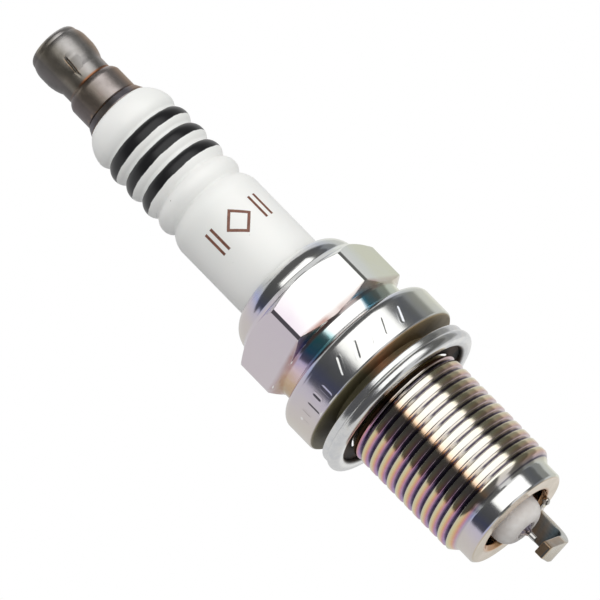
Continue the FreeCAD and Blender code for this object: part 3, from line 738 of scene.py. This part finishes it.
class Surface(Nodes):
    """A material being built, with the place on the object in millimetres."""

    def __init__(self, name, metallic=0.0):
        self.material = bpy.data.materials.new(name)
        self.material.use_nodes = True
        super().__init__(self.material.node_tree)
        self.shader = self.tree.nodes["Principled BSDF"]
        self.shader.inputs["Metallic"].default_value = metallic
        object_place = self.node("ShaderNodeTexCoord").outputs["Object"]
        self.place = self.vector("SCALE", object_place, scale=1 / MM)
        split = self.node("ShaderNodeSeparateXYZ")
        self.join(self.place, split.inputs[0])
        self.x, self.y, self.z = split.outputs

    def triple(self, x, y, z):
        made = self.node("ShaderNodeCombineXYZ")
        for value, socket in zip((x, y, z), made.inputs):
            self.join(value, socket)
        return made.outputs[0]

    def noise(self, scale, detail=3.0, roughness=0.5, place=None):
        made = self.node("ShaderNodeTexNoise")
        self.join(self.place if place is None else place, made.inputs["Vector"])
        made.inputs["Scale"].default_value = scale
        made.inputs["Detail"].default_value = detail
        made.inputs["Roughness"].default_value = roughness
        return made.outputs[0]

    def waver(self, scale, detail, size):
        """Noise that is even on both sides of 0."""
        return self.times(self.math("SUBTRACT", self.noise(scale, detail), 0.5), size)

    def ramp(self, value, stops):
        made = self.node("ShaderNodeValToRGB")
        elements = made.color_ramp.elements
        while len(elements) < len(stops):
            elements.new(0.5)
        for element, (position, colour) in zip(elements, stops):
            element.position = position
            element.color = (*colour, 1)
        self.join(value, made.inputs[0])
        return made.outputs[0]

    def tint(self, share, colour, factor):
        """The colour, multiplied by a factor where share is 1."""
        return self.mix(share, colour, self.mix(1.0, colour, factor, "MULTIPLY"))

    def angle(self):
        return self.math("ARCTAN2", self.y, self.x)

    def radius(self):
        square = self.times(self.x, self.x)
        return self.math("SQRT", self.math("MULTIPLY_ADD", self.y, self.y, square))

    def turning(self, fine=9.0):
        """Noise in rings round the axis, as a lathe tool leaves it."""
        rings = self.vector("MULTIPLY", self.place, (0.12, 0.12, fine))
        return self.noise(1.0, 4.0, 0.6, rings)

    def worn(self, sharp=0.06):
        """1 on edges that stand out, 0 elsewhere."""
        point = self.node("ShaderNodeNewGeometry").outputs["Pointiness"]
        return self.range(point, 0.5 + sharp * 0.3, 0.5 + sharp, 0.0, 1.0)

    def finish(self, colour, roughness, height=None, strength=0.1, distance=0.05):
        self.join(colour, self.shader.inputs["Base Color"])
        self.join(roughness, self.shader.inputs["Roughness"])
        if height is not None:
            bump = self.node("ShaderNodeBump")
            bump.inputs["Strength"].default_value = strength
            bump.inputs["Distance"].default_value = distance * MM
            self.join(height, bump.inputs["Height"])
            self.join(bump.outputs[0], self.shader.inputs["Normal"])
        return self.material


# Colours of the thin film on the plating, from the left edge over the front to the right edge. A painted
# reflection is in them: near-white right of the front where the window is reflected, darker and bluer left
# of it. On the neck, the blue, white and blue across the front are painted reflection.
ROUND_FILM_AND_REFLECTION = [
    (0.0, (0.80, 0.74, 0.66)),
    (0.10, (0.80, 0.73, 0.72)),
    (0.20, (0.74, 0.68, 0.80)),
    (0.28, (0.52, 0.56, 0.86)),
    (0.36, (0.66, 0.68, 0.70)),
    (0.48, (0.88, 0.88, 0.86)),
    (0.60, (0.97, 0.97, 0.96)),
    (0.78, (0.95, 0.95, 0.94)),
    (0.85, (0.72, 0.76, 0.86)),
    (1.0, (0.85, 0.86, 0.70)),
]
HEX_FILM_AND_REFLECTION = [
    (0.0, (0.81, 0.735, 0.775)),
    (0.34, (0.78, 0.70, 0.78)),
    (0.5, (0.95, 0.95, 0.95)),
    (0.8, (0.95, 0.96, 0.95)),
    (0.9, (0.86, 0.90, 0.84)),
    (1.0, (0.85, 0.87, 0.68)),
]
NECK_FILM_AND_REFLECTION = [
    (0.0, (0.50, 0.34, 0.17)),
    (0.10, (0.74, 0.52, 0.34)),
    (0.17, (0.88, 0.68, 0.74)),
    (0.24, (0.52, 0.46, 0.80)),
    (0.31, (0.12, 0.45, 0.78)),
    (0.42, (0.16, 0.58, 0.64)),
    (0.47, (0.45, 0.75, 0.78)),
    (0.51, (0.96, 0.96, 0.96)),
    (0.76, (0.96, 0.96, 0.96)),
    (0.81, (0.16, 0.58, 0.84)),
    (0.88, (0.50, 0.62, 0.62)),
    (1.0, (0.82, 0.84, 0.62)),
]
# The same on the thread, from the bottom of the groove up to the crest and up to the next groove. The
# near-black at both ends is painted shade in the groove's bottom.
THREAD_FILM_AND_GROOVE_SHADE = [
    (0.0, (0.06, 0.05, 0.07)),
    (0.05, (0.12, 0.08, 0.20)),
    (0.13, (0.44, 0.26, 0.56)),
    (0.27, (0.76, 0.34, 0.42)),
    (0.40, (0.90, 0.50, 0.28)),
    (0.55, (0.92, 0.74, 0.40)),
    (0.72, (0.84, 0.82, 0.54)),
    (0.86, (0.60, 0.62, 0.52)),
    (0.95, (0.30, 0.28, 0.36)),
    (1.0, (0.06, 0.05, 0.07)),
]
# Painted highlight on the crests over the front: cream and white with an orange edge. Painted shade in dark
# grey lies left of it and a duller olive right of it. From 0.3 radius left of it.
THREAD_CREST_HIGHLIGHT = [
    (0.0, (0.26, 0.27, 0.31)),
    (0.19, (0.34, 0.31, 0.26)),
    (0.24, (1.0, 0.68, 0.44)),
    (0.31, (1.0, 0.91, 0.78)),
    (0.42, (1.0, 0.97, 0.90)),
    (0.70, (1.0, 0.97, 0.88)),
    (0.86, (0.78, 0.74, 0.50)),
    (1.0, (0.84, 0.74, 0.56)),
]
# Painted shade on the flange's underside, in dark brown tones, from the left edge to the right edge.
UNDERSIDE_SHADE = [
    (0.0, (0.22, 0.19, 0.11)),
    (0.20, (0.25, 0.22, 0.12)),
    (0.45, (0.18, 0.16, 0.09)),
    (0.60, (0.55, 0.27, 0.13)),
    (0.74, (0.36, 0.24, 0.12)),
    (1.0, (0.32, 0.25, 0.14)),
]


def film_and_reflection_colour(s, side, patches):
    """Film on the turned parts, the hexagon and the neck, with a painted reflection of the window in it over
    the front, and rust in the corner under the hexagon.
    """
    place = s.math("ADD", s.math("MULTIPLY_ADD", side, 0.5, 0.5), patches, clamp=True)
    neck_top = (HEX_LOW + 0.2, HEX_LOW + 0.8)
    hexagon = s.between(s.z, neck_top, (12.0, 12.6))
    neck = s.between(s.z, (NECK_LOW - 0.45, NECK_LOW), neck_top)
    colour = s.mix(hexagon, s.ramp(place, ROUND_FILM_AND_REFLECTION), s.ramp(place, HEX_FILM_AND_REFLECTION))
    colour = s.mix(neck, colour, s.ramp(place, NECK_FILM_AND_REFLECTION))
    rust = s.between(s.z, (HEX_LOW - 0.05, HEX_LOW + 0.2), (HEX_LOW + 0.6, HEX_LOW + 1.2))
    rust = s.times(rust, s.range(s.noise(0.2, 3.0), 0.4, 0.65, 0.35, 0.9))
    return s.mix(rust, colour, (0.42, 0.20, 0.16))


def thread_colour(s, side, patches):
    """Film on the thread: coloured bands at the left. Over the front, a painted highlight lies on the crests
    and runs across the grooves in a narrow strip, with painted shade left of it.
    """
    climb = s.math("DIVIDE", s.math("SUBTRACT", s.z, THREAD["start"]), THREAD["pitch"])
    phase = s.math("SUBTRACT", climb, s.math("DIVIDE", s.angle(), TURN))
    banded = s.ramp(s.math("FRACT", phase), THREAD_FILM_AND_GROOVE_SHADE)
    crest_highlight_share = s.range(s.math("ADD", side, s.times(patches, 2.0)), -0.55, -0.15, 0.0, 0.9)
    crest_highlight_share = s.times(crest_highlight_share, s.range(side, 0.45, 0.75, 1.0, 0.6))
    # middle is the painted highlight and shade across the front, and glint carries that painted highlight
    # over the grooves.
    middle = s.ramp(s.math("MULTIPLY_ADD", side, 0.8, 0.3, clamp=True), THREAD_CREST_HIGHLIGHT)
    crest = s.math("PINGPONG", phase, 0.5)
    glint = s.between(side, (-0.02, 0.08), (0.12, 0.26))
    covered = s.math("MAXIMUM", s.range(crest, 0.03, 0.1, 0.1, 1.0), s.times(glint, 0.8))
    return s.mix(s.times(crest_highlight_share, covered), banded, middle)


def shade_and_soil(s, side, colour, underside):
    """Adds painted shade under the flange, with darker patches in it, the bare tan rim of the firing end and
    its burnt mouth.
    """
    underside_shade = s.ramp(s.math("MULTIPLY_ADD", side, 0.5, 0.5), UNDERSIDE_SHADE)
    underside_shade = s.mix(s.range(s.noise(0.8, 4.0), 0.4, 0.7, 0.0, 0.4), underside_shade, (0.20, 0.17, 0.10))
    colour = s.mix(underside, colour, underside_shade)
    rim = s.range(s.z, SHELL_LOW + 0.02, SHELL_LOW + 0.16, 1.0, 0.0)
    tones = [(0.35, (0.70, 0.61, 0.48)), (0.6, (0.84, 0.73, 0.61)), (0.75, (0.74, 0.74, 0.53))]
    colour = s.mix(rim, colour, s.ramp(s.noise(0.35, 3.0), tones))
    mouth = s.range(s.radius(), 4.3, 4.7, 1.0, 0.0)
    mouth = s.times(mouth, s.range(s.z, SHELL_LOW + 1.0, SHELL_LOW + 1.5, 1.0, 0.0))
    return s.mix(mouth, colour, (0.60, 0.36, 0.20))


def plated_shell():
    """Zinc with a clear passivate, whose thin film shows pale rainbow colours, with painted reflection and
    shade placed from the front in them.
    """
    s = Surface("plated_zinc", metallic=1.0)
    side = s.side(s.vector("NORMALIZE", s.triple(s.x, s.y, 0.0)))
    patches = s.waver(0.25, 3.0, 0.16)
    thread = s.between(s.z, (THREAD_LOW, THREAD_LOW + 0.5), (THREAD_HIGH - 0.4, THREAD_HIGH))
    colour = s.mix(thread, film_and_reflection_colour(s, side, patches), thread_colour(s, side, patches))
    colour = s.mix(s.range(s.noise(1.7, 5.0), 0.35, 0.75, 0.0, 0.14), colour, (0.80, 0.79, 0.78))
    rubbed = s.times(s.worn(), s.range(s.z, 0.0, 0.2, 0.0, 1.0))
    colour = s.mix(rubbed, colour, (0.96, 0.95, 0.93))
    underside = s.between(s.z, (THREAD_HIGH, THREAD_HIGH + 0.3), (0.05, 0.2))
    s.join(s.math("MULTIPLY_ADD", underside, -0.8, 1.0), s.shader.inputs["Metallic"])
    colour = shade_and_soil(s, side, colour, underside)
    roughness = s.math("MULTIPLY_ADD", s.noise(0.8, 5.0, 0.65), 0.12, 0.07)
    roughness = s.math("MULTIPLY_ADD", underside, 0.35, roughness)
    flange = s.between(s.z, (0.1, 0.3), (FLANGE_TOP + 0.15, FLANGE_TOP + 0.75))
    roughness = s.math("MULTIPLY_ADD", flange, 0.06, roughness)
    fillet = s.between(s.z, (NECK_LOW - 0.45, NECK_LOW - 0.35), (NECK_LOW - 0.1, NECK_LOW + 0.1))
    roughness = s.math("MULTIPLY_ADD", fillet, 0.4, roughness)
    return s.finish(colour, roughness, s.turning(), 0.12, 0.04)


def gasket_steel():
    s = Surface("gasket_plate", metallic=1.0)
    grain = s.noise(0.9, 4.0)
    colour = s.ramp(grain, [(0.3, (0.80, 0.81, 0.83)), (0.6, (0.90, 0.90, 0.89)), (0.8, (0.86, 0.83, 0.78))])
    # Inside the hole the colour goes near black: painted shade in the gap round the thread.
    inner = s.range(s.radius(), 8.1, 8.5, 1.0, 0.0)
    hole_shade = s.ramp(s.noise(0.4, 3.0), [(0.35, (0.02, 0.02, 0.02)), (0.7, (0.09, 0.05, 0.03))])
    colour = s.mix(inner, colour, hole_shade)
    roughness = s.math("MULTIPLY_ADD", s.noise(2.5, 4.0), 0.16, 0.10)
    roughness = s.math("MULTIPLY_ADD", inner, 0.4, roughness)
    return s.finish(colour, roughness, s.turning(14.0), 0.15, 0.04)


BANDS = [(34.2, 35.6), (31.8, 33.2), (29.4, 30.7)]
BAND_EDGE = 0.04
MARK_HEIGHT, MARK_TALL, MARK_TURN = 21.15, 1.45, math.radians(12.0)
MARK_BARS, BAR_HALF = (-3.5, -2.7, 2.7, 3.5), 0.16
DIAMOND_HALF = 0.224
INK_EDGE = 0.03


def printed_mark(s):
    """1 on a plain mark: a hollow diamond between pairs of bars."""
    across = s.times(s.math("SUBTRACT", s.angle(), FRONT + MARK_TURN), INSULATOR_RADIUS)
    up = s.math("SUBTRACT", s.z, MARK_HEIGHT)
    inside = s.math("SUBTRACT", MARK_TALL, s.math("ABSOLUTE", up))
    ink = 0.0
    for place in MARK_BARS:
        beside = s.math("SUBTRACT", BAR_HALF, s.math("ABSOLUTE", s.math("SUBTRACT", across, place)))
        bar = s.range(s.math("MINIMUM", beside, inside), -INK_EDGE, INK_EDGE, 0.0, 1.0)
        ink = s.math("MAXIMUM", ink, bar)
    diamond = s.math("ADD", s.math("ABSOLUTE", across), s.math("ABSOLUTE", up))
    rim = s.math("SUBTRACT", DIAMOND_HALF, s.math("ABSOLUTE", s.math("SUBTRACT", diamond, MARK_TALL)))
    feather = s.waver(6.0, 2.0, 0.05)
    ink = s.math("MAXIMUM", ink, s.range(s.math("ADD", rim, feather), -INK_EDGE, INK_EDGE, 0.0, 1.0))
    outside = s.range(s.radius(), 5.1, 5.2, 0.0, 1.0)
    near = s.math("LESS_THAN", s.math("ABSOLUTE", up), MARK_TALL + 0.5)
    return s.times(s.times(ink, outside), near)


def black_bands(s):
    """1 on the bands, whose edges waver a little."""
    level = s.math("ADD", s.z, s.waver(0.7, 3.0, 0.22))
    black = 0.0
    for low, high in BANDS:
        band = s.between(level, (low - BAND_EDGE, low + BAND_EDGE), (high - BAND_EDGE, high + BAND_EDGE))
        black = s.math("MAXIMUM", black, band)
    return black


def glazed_alumina():
    """White glaze with three black bands and a printed mark, bare and ashy at the nose."""
    s = Surface("white_glaze")
    s.shader.inputs["Subsurface Weight"].default_value = 0.08
    s.shader.inputs["Subsurface Scale"].default_value = 0.6 * MM
    s.shader.inputs["Subsurface Radius"].default_value = (1.0, 0.9, 0.8)
    tones = [(0.3, (0.86, 0.87, 0.85)), (0.55, (0.90, 0.90, 0.885)), (0.8, (0.88, 0.885, 0.875))]
    bare = s.range(s.z, SHELL_LOW + 1.0, SHELL_LOW + 3.0, 1.0, 0.0)
    ash = s.ramp(s.noise(0.9, 4.0), [(0.3, (0.74, 0.70, 0.67)), (0.7, (0.88, 0.85, 0.83))])
    colour = s.mix(bare, s.ramp(s.noise(0.12, 3.0), tones), ash)
    colour = s.mix(black_bands(s), colour, (0.012, 0.012, 0.014))
    brown = s.ramp(s.noise(3.0, 3.0), [(0.3, (0.16, 0.06, 0.04)), (0.7, (0.26, 0.11, 0.07))])
    colour = s.mix(printed_mark(s), colour, brown)
    speck = s.range(s.noise(1.6, 1.0), 0.80, 0.83, 0.0, 0.7)
    colour = s.mix(speck, colour, (0.30, 0.27, 0.24))
    gloss = s.math("MULTIPLY_ADD", s.noise(0.5, 4.0), 0.14, 0.24)
    roughness = s.math("MULTIPLY_ADD", bare, 0.45, gloss)
    return s.finish(colour, roughness, s.noise(1.4, 3.0), 0.06, 0.05)


# Painted light and shade on the terminal, across from 3 mm left of the axis to 1 mm right of it: dark on its
# left, a pale band, and a painted sheen at its right.
TERMINAL_LIGHT_AND_SHADE = [
    (0.0, (0.34, 0.33, 0.35)),
    (0.25, (0.32, 0.31, 0.31)),
    (0.45, (0.86, 0.80, 0.68)),
    (0.62, (0.72, 0.68, 0.60)),
    (0.76, (0.56, 0.54, 0.50)),
    (1.0, (1.0, 1.0, 1.02)),
]


def terminal_steel():
    s = Surface("terminal_dark", metallic=1.0)
    tones = [(0.3, (0.42, 0.40, 0.38)), (0.55, (0.54, 0.52, 0.50)), (0.75, (0.58, 0.53, 0.52))]
    colour = s.ramp(s.noise(0.6, 5.0, 0.6), tones)
    side = s.side(s.place)
    # shade is painted light and shade placed from the front: dark on the left, a painted sheen on the right.
    shade = s.ramp(s.math("MULTIPLY_ADD", side, 0.25, 0.75, clamp=True), TERMINAL_LIGHT_AND_SHADE)
    colour = s.mix(1.0, colour, shade, "MULTIPLY")
    collar = s.range(s.z, COLLAR_TOP - 0.3, COLLAR_TOP - 0.1, 1.0, 0.0)
    colour = s.tint(collar, colour, (1.0, 0.93, 0.92))
    flange = s.range(s.z, STUD_FLANGE_TOP - 0.02, STUD_FLANGE_TOP + 0.04, 1.0, 0.0)
    colour = s.tint(flange, colour, (0.72, 0.76, 0.86))
    joint = s.between(s.z, (COLLAR_TOP - 0.25, COLLAR_TOP), (COLLAR_TOP + 0.05, COLLAR_TOP + 0.3))
    joint = s.times(joint, s.range(side, -1.2, -0.4, 0.15, 1.0))
    colour = s.mix(joint, colour, (0.40, 0.17, 0.08))
    colour = s.mix(s.range(side, 2.3, 3.1, 0.0, 0.75), colour, (0.42, 0.26, 0.14))
    colour = s.mix(s.worn(0.05), colour, (0.52, 0.36, 0.24))
    roughness = s.math("MULTIPLY_ADD", s.noise(3.0, 4.0), 0.12, 0.31)
    return s.finish(colour, roughness, s.turning(7.0), 0.18, 0.05)


def nickel(name, dark, light, warm, rough=0.28):
    """Drawn nickel alloy, with scale lines along it and warmer edges."""
    s = Surface(name, metallic=1.0)
    grain = s.noise(1.0, 5.0, 0.65, s.vector("MULTIPLY", s.place, (6.0, 2.2, 1.2)))
    colour = s.ramp(grain, [(0.25, dark), (0.75, light)])
    colour = s.mix(s.worn(0.05), colour, warm)
    roughness = s.math("MULTIPLY_ADD", s.noise(4.0, 4.0), 0.2, rough - 0.1)
    return s.finish(colour, roughness, grain, 0.25, 0.05)


def plain_stuff(name, dark, light, metallic, rough, scale=1.2):
    """Material of a piece that is shut inside: two tones of grain with matching roughness and bump."""
    s = Surface(name, metallic=metallic)
    grain = s.noise(scale, 5.0, 0.6)
    colour = s.ramp(grain, [(0.3, dark), (0.7, light)])
    return s.finish(colour, s.math("MULTIPLY_ADD", grain, 0.2, rough - 0.1), grain, 0.3, 0.05)


def hidden_materials():
    """Gives the shut-in CAD pieces their materials."""
    glass = plain_stuff("seal_glass", (0.05, 0.04, 0.04), (0.16, 0.12, 0.10), 0.3, 0.35)
    steel = plain_stuff("packing_steel", (0.42, 0.41, 0.40), (0.62, 0.61, 0.60), 1.0, 0.35)
    copper = plain_stuff("copper", (0.72, 0.36, 0.22), (0.86, 0.48, 0.32), 1.0, 0.3)
    named = {
        "electrode_copper_core": copper,
        "lower_glass_seal": glass,
        "upper_glass_seal": glass,
        "resistor": plain_stuff("resistor_mix", (0.03, 0.03, 0.03), (0.09, 0.085, 0.08), 0.0, 0.7),
        "seat_washer": steel,
        "lower_packing_ring": steel,
        "upper_packing_ring": steel,
        "talc_fill": plain_stuff("talc", (0.68, 0.67, 0.64), (0.80, 0.79, 0.76), 0.0, 0.85),
    }
    for node, material in named.items():
        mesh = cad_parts[node].data
        for index in range(len(mesh.materials)):
            mesh.materials[index] = material


# ---------------------------------------- stage, light and camera

AIM_HEIGHT, AIM_ASIDE = 12.05, -0.08
CAMERA_DISTANCE, CAMERA_LENS = 1200.0, 710.0
CAMERA_AZIMUTH, CAMERA_ELEVATION, CAMERA_LEAN = 15.0, -14.1, 44.35
FLOOR_HEIGHT, FLOOR_RADIUS = -300.0, 3000.0


def camera():
    """Looks up the plug from its firing end, tilted so that the terminal points to the upper left."""
    azimuth, elevation, lean = (math.radians(a) for a in (CAMERA_AZIMUTH, CAMERA_ELEVATION, CAMERA_LEAN))
    flat = math.cos(elevation)
    back = Vector((math.sin(azimuth) * flat, -math.cos(azimuth) * flat, math.sin(elevation)))
    axis_up = (Vector((0, 0, 1)) - back * back.z).normalized()
    axis_right = (-back).cross(axis_up)
    right = axis_right * math.cos(lean) - axis_up * math.sin(lean)
    up = axis_up * math.cos(lean) + axis_right * math.sin(lean)
    place = Vector((0, 0, AIM_HEIGHT)) + axis_right * AIM_ASIDE + back * CAMERA_DISTANCE
    turned = Matrix((right, up, back)).transposed().to_4x4()
    lens = bpy.data.cameras.new("camera")
    lens.lens = CAMERA_LENS
    lens.clip_start, lens.clip_end = 0.05, 20
    made = bpy.data.objects.new("camera", lens)
    made.matrix_world = Matrix.Translation(place * MM) @ turned
    bpy.context.collection.objects.link(made)
    bpy.context.scene.camera = made


def floor():
    """A wide pale disc under the plug, with a faint unevenness of tone."""
    s = Surface("floor_paper")
    tone = s.ramp(s.noise(0.01, 3.0), [(0.3, (0.90, 0.90, 0.89)), (0.7, (0.93, 0.93, 0.925))])
    material = s.finish(tone, 0.6)
    rim = [(FLOOR_RADIUS * math.cos(a), FLOOR_RADIUS * math.sin(a), FLOOR_HEIGHT)
           for a in TURN * np.arange(128) / 128]
    mesh = bpy.data.meshes.new("floor")
    mesh.from_pydata((np.array(rim) * MM).tolist(), [], [list(range(len(rim)))])
    mesh.materials.append(material)
    made = bpy.data.objects.new("floor", mesh)
    bpy.context.collection.objects.link(made)
    made.visible_glossy = False
    made.visible_diffuse = False


# Lit and dark areas round the plug: (turn from, turn to, height from, height to, light), in degrees from
# the front, to the right and up. Later ones cover earlier ones.
CARDS = [
    (104, 127, -60, 60, (0.27, 0.27, 0.26)),
    (155, 190, -60, 60, (0.80, 0.80, 0.79)),
    (-66, -9, -60, 60, (0.085, 0.085, 0.09)),
    (69, 104, -60, 60, (0.12, 0.12, 0.115)),
    (-46, 32, -80, -17, (0.10, 0.10, 0.10)),
    (-85, 120, 40, 95, (0.09, 0.09, 0.09)),
    (-8, 68, -17, 48, (1.18, 1.18, 1.16)),
]
SURROUND = (0.64, 0.64, 0.64)
CARD_EDGE = 2.5
# The same for light that falls on matt surfaces.
SOFT_CARDS = [
    (-150, -36, -65, 65, (0.30, 0.30, 0.305)),
    (-36, 104, -65, 65, (1.18, 1.18, 1.165)),
    (-200, 200, 65, 110, (2.0, 2.0, 2.0)),
]
SOFT_SURROUND = (0.52, 0.52, 0.52)
SOFT_EDGE = 12.0


def studio():
    """Room with one large soft window to the right of the front and dark screens round it. The camera itself
    sees plain white."""
    world = bpy.data.worlds.new("studio")
    bpy.context.scene.world = world
    world.use_nodes = True
    world.node_tree.nodes.clear()
    s = Nodes(world.node_tree)

    def pattern(surround, cards, edge):
        light = surround
        for left, right, low, high, colour in cards:
            beside = s.between(turn, (left - edge, left + edge), (right - edge, right + edge))
            level = s.between(height, (low - edge, low + edge), (high - edge, high + edge))
            light = s.mix(s.times(beside, level), light, colour)
        return light

    ray = s.node("ShaderNodeTexCoord").outputs["Generated"]
    ahead = s.vector("DOT_PRODUCT", ray, (math.cos(FRONT), math.sin(FRONT), 0))
    turn = s.math("DEGREES", s.math("ARCTAN2", s.side(ray), ahead))
    height = s.math("DEGREES", s.math("ARCSINE", s.vector("DOT_PRODUCT", ray, (0, 0, 1))))
    path = s.node("ShaderNodeLightPath")
    sharp, soft = pattern(SURROUND, CARDS, CARD_EDGE), pattern(SOFT_SURROUND, SOFT_CARDS, SOFT_EDGE)
    light = s.mix(path.outputs["Is Diffuse Ray"], sharp, soft)
    background = s.node("ShaderNodeBackground")
    s.join(s.mix(path.outputs["Is Camera Ray"], light, (1, 1, 1)), background.inputs[0])
    s.join(background.outputs[0], s.node("ShaderNodeOutputWorld").inputs[0])


metal_shell(plated_shell())
gasket(gasket_steel())
insulator(glazed_alumina())
dark_steel = terminal_steel()
terminal_nut(dark_steel)
terminal_stud(dark_steel)
# The electrode's dark, blue nickel is painted shade under the nose.
shaded_electrode_nickel = nickel("shaded_electrode_nickel", (0.16, 0.14, 0.20), (0.34, 0.30, 0.36), (0.50, 0.40, 0.34))
iridium = nickel("iridium", (0.62, 0.60, 0.58), (0.80, 0.79, 0.77), (0.85, 0.84, 0.82), 0.22)
centre_electrode(shaded_electrode_nickel, iridium)
strap_outer = nickel("strap_outer", (0.60, 0.61, 0.57), (0.82, 0.83, 0.80), (0.66, 0.56, 0.42))
# strap_inner_shaded is painted shade: a darker, bluer copy of the strap's nickel.
strap_inner_shaded = nickel("strap_inner_shaded", (0.15, 0.21, 0.25), (0.30, 0.37, 0.41), (0.50, 0.36, 0.24), 0.36)
strap_cut = nickel("strap_cut", (0.60, 0.58, 0.54), (0.78, 0.77, 0.74), (0.66, 0.50, 0.36), 0.32)
ground_electrode(strap_outer, strap_inner_shaded, strap_cut)
weld_flash(nickel("weld_nickel", (0.55, 0.53, 0.50), (0.80, 0.78, 0.75), (0.88, 0.85, 0.80), 0.2))
hidden_materials()
camera()
floor()
studio()
bpy.context.scene.view_settings.view_transform = "Standard"
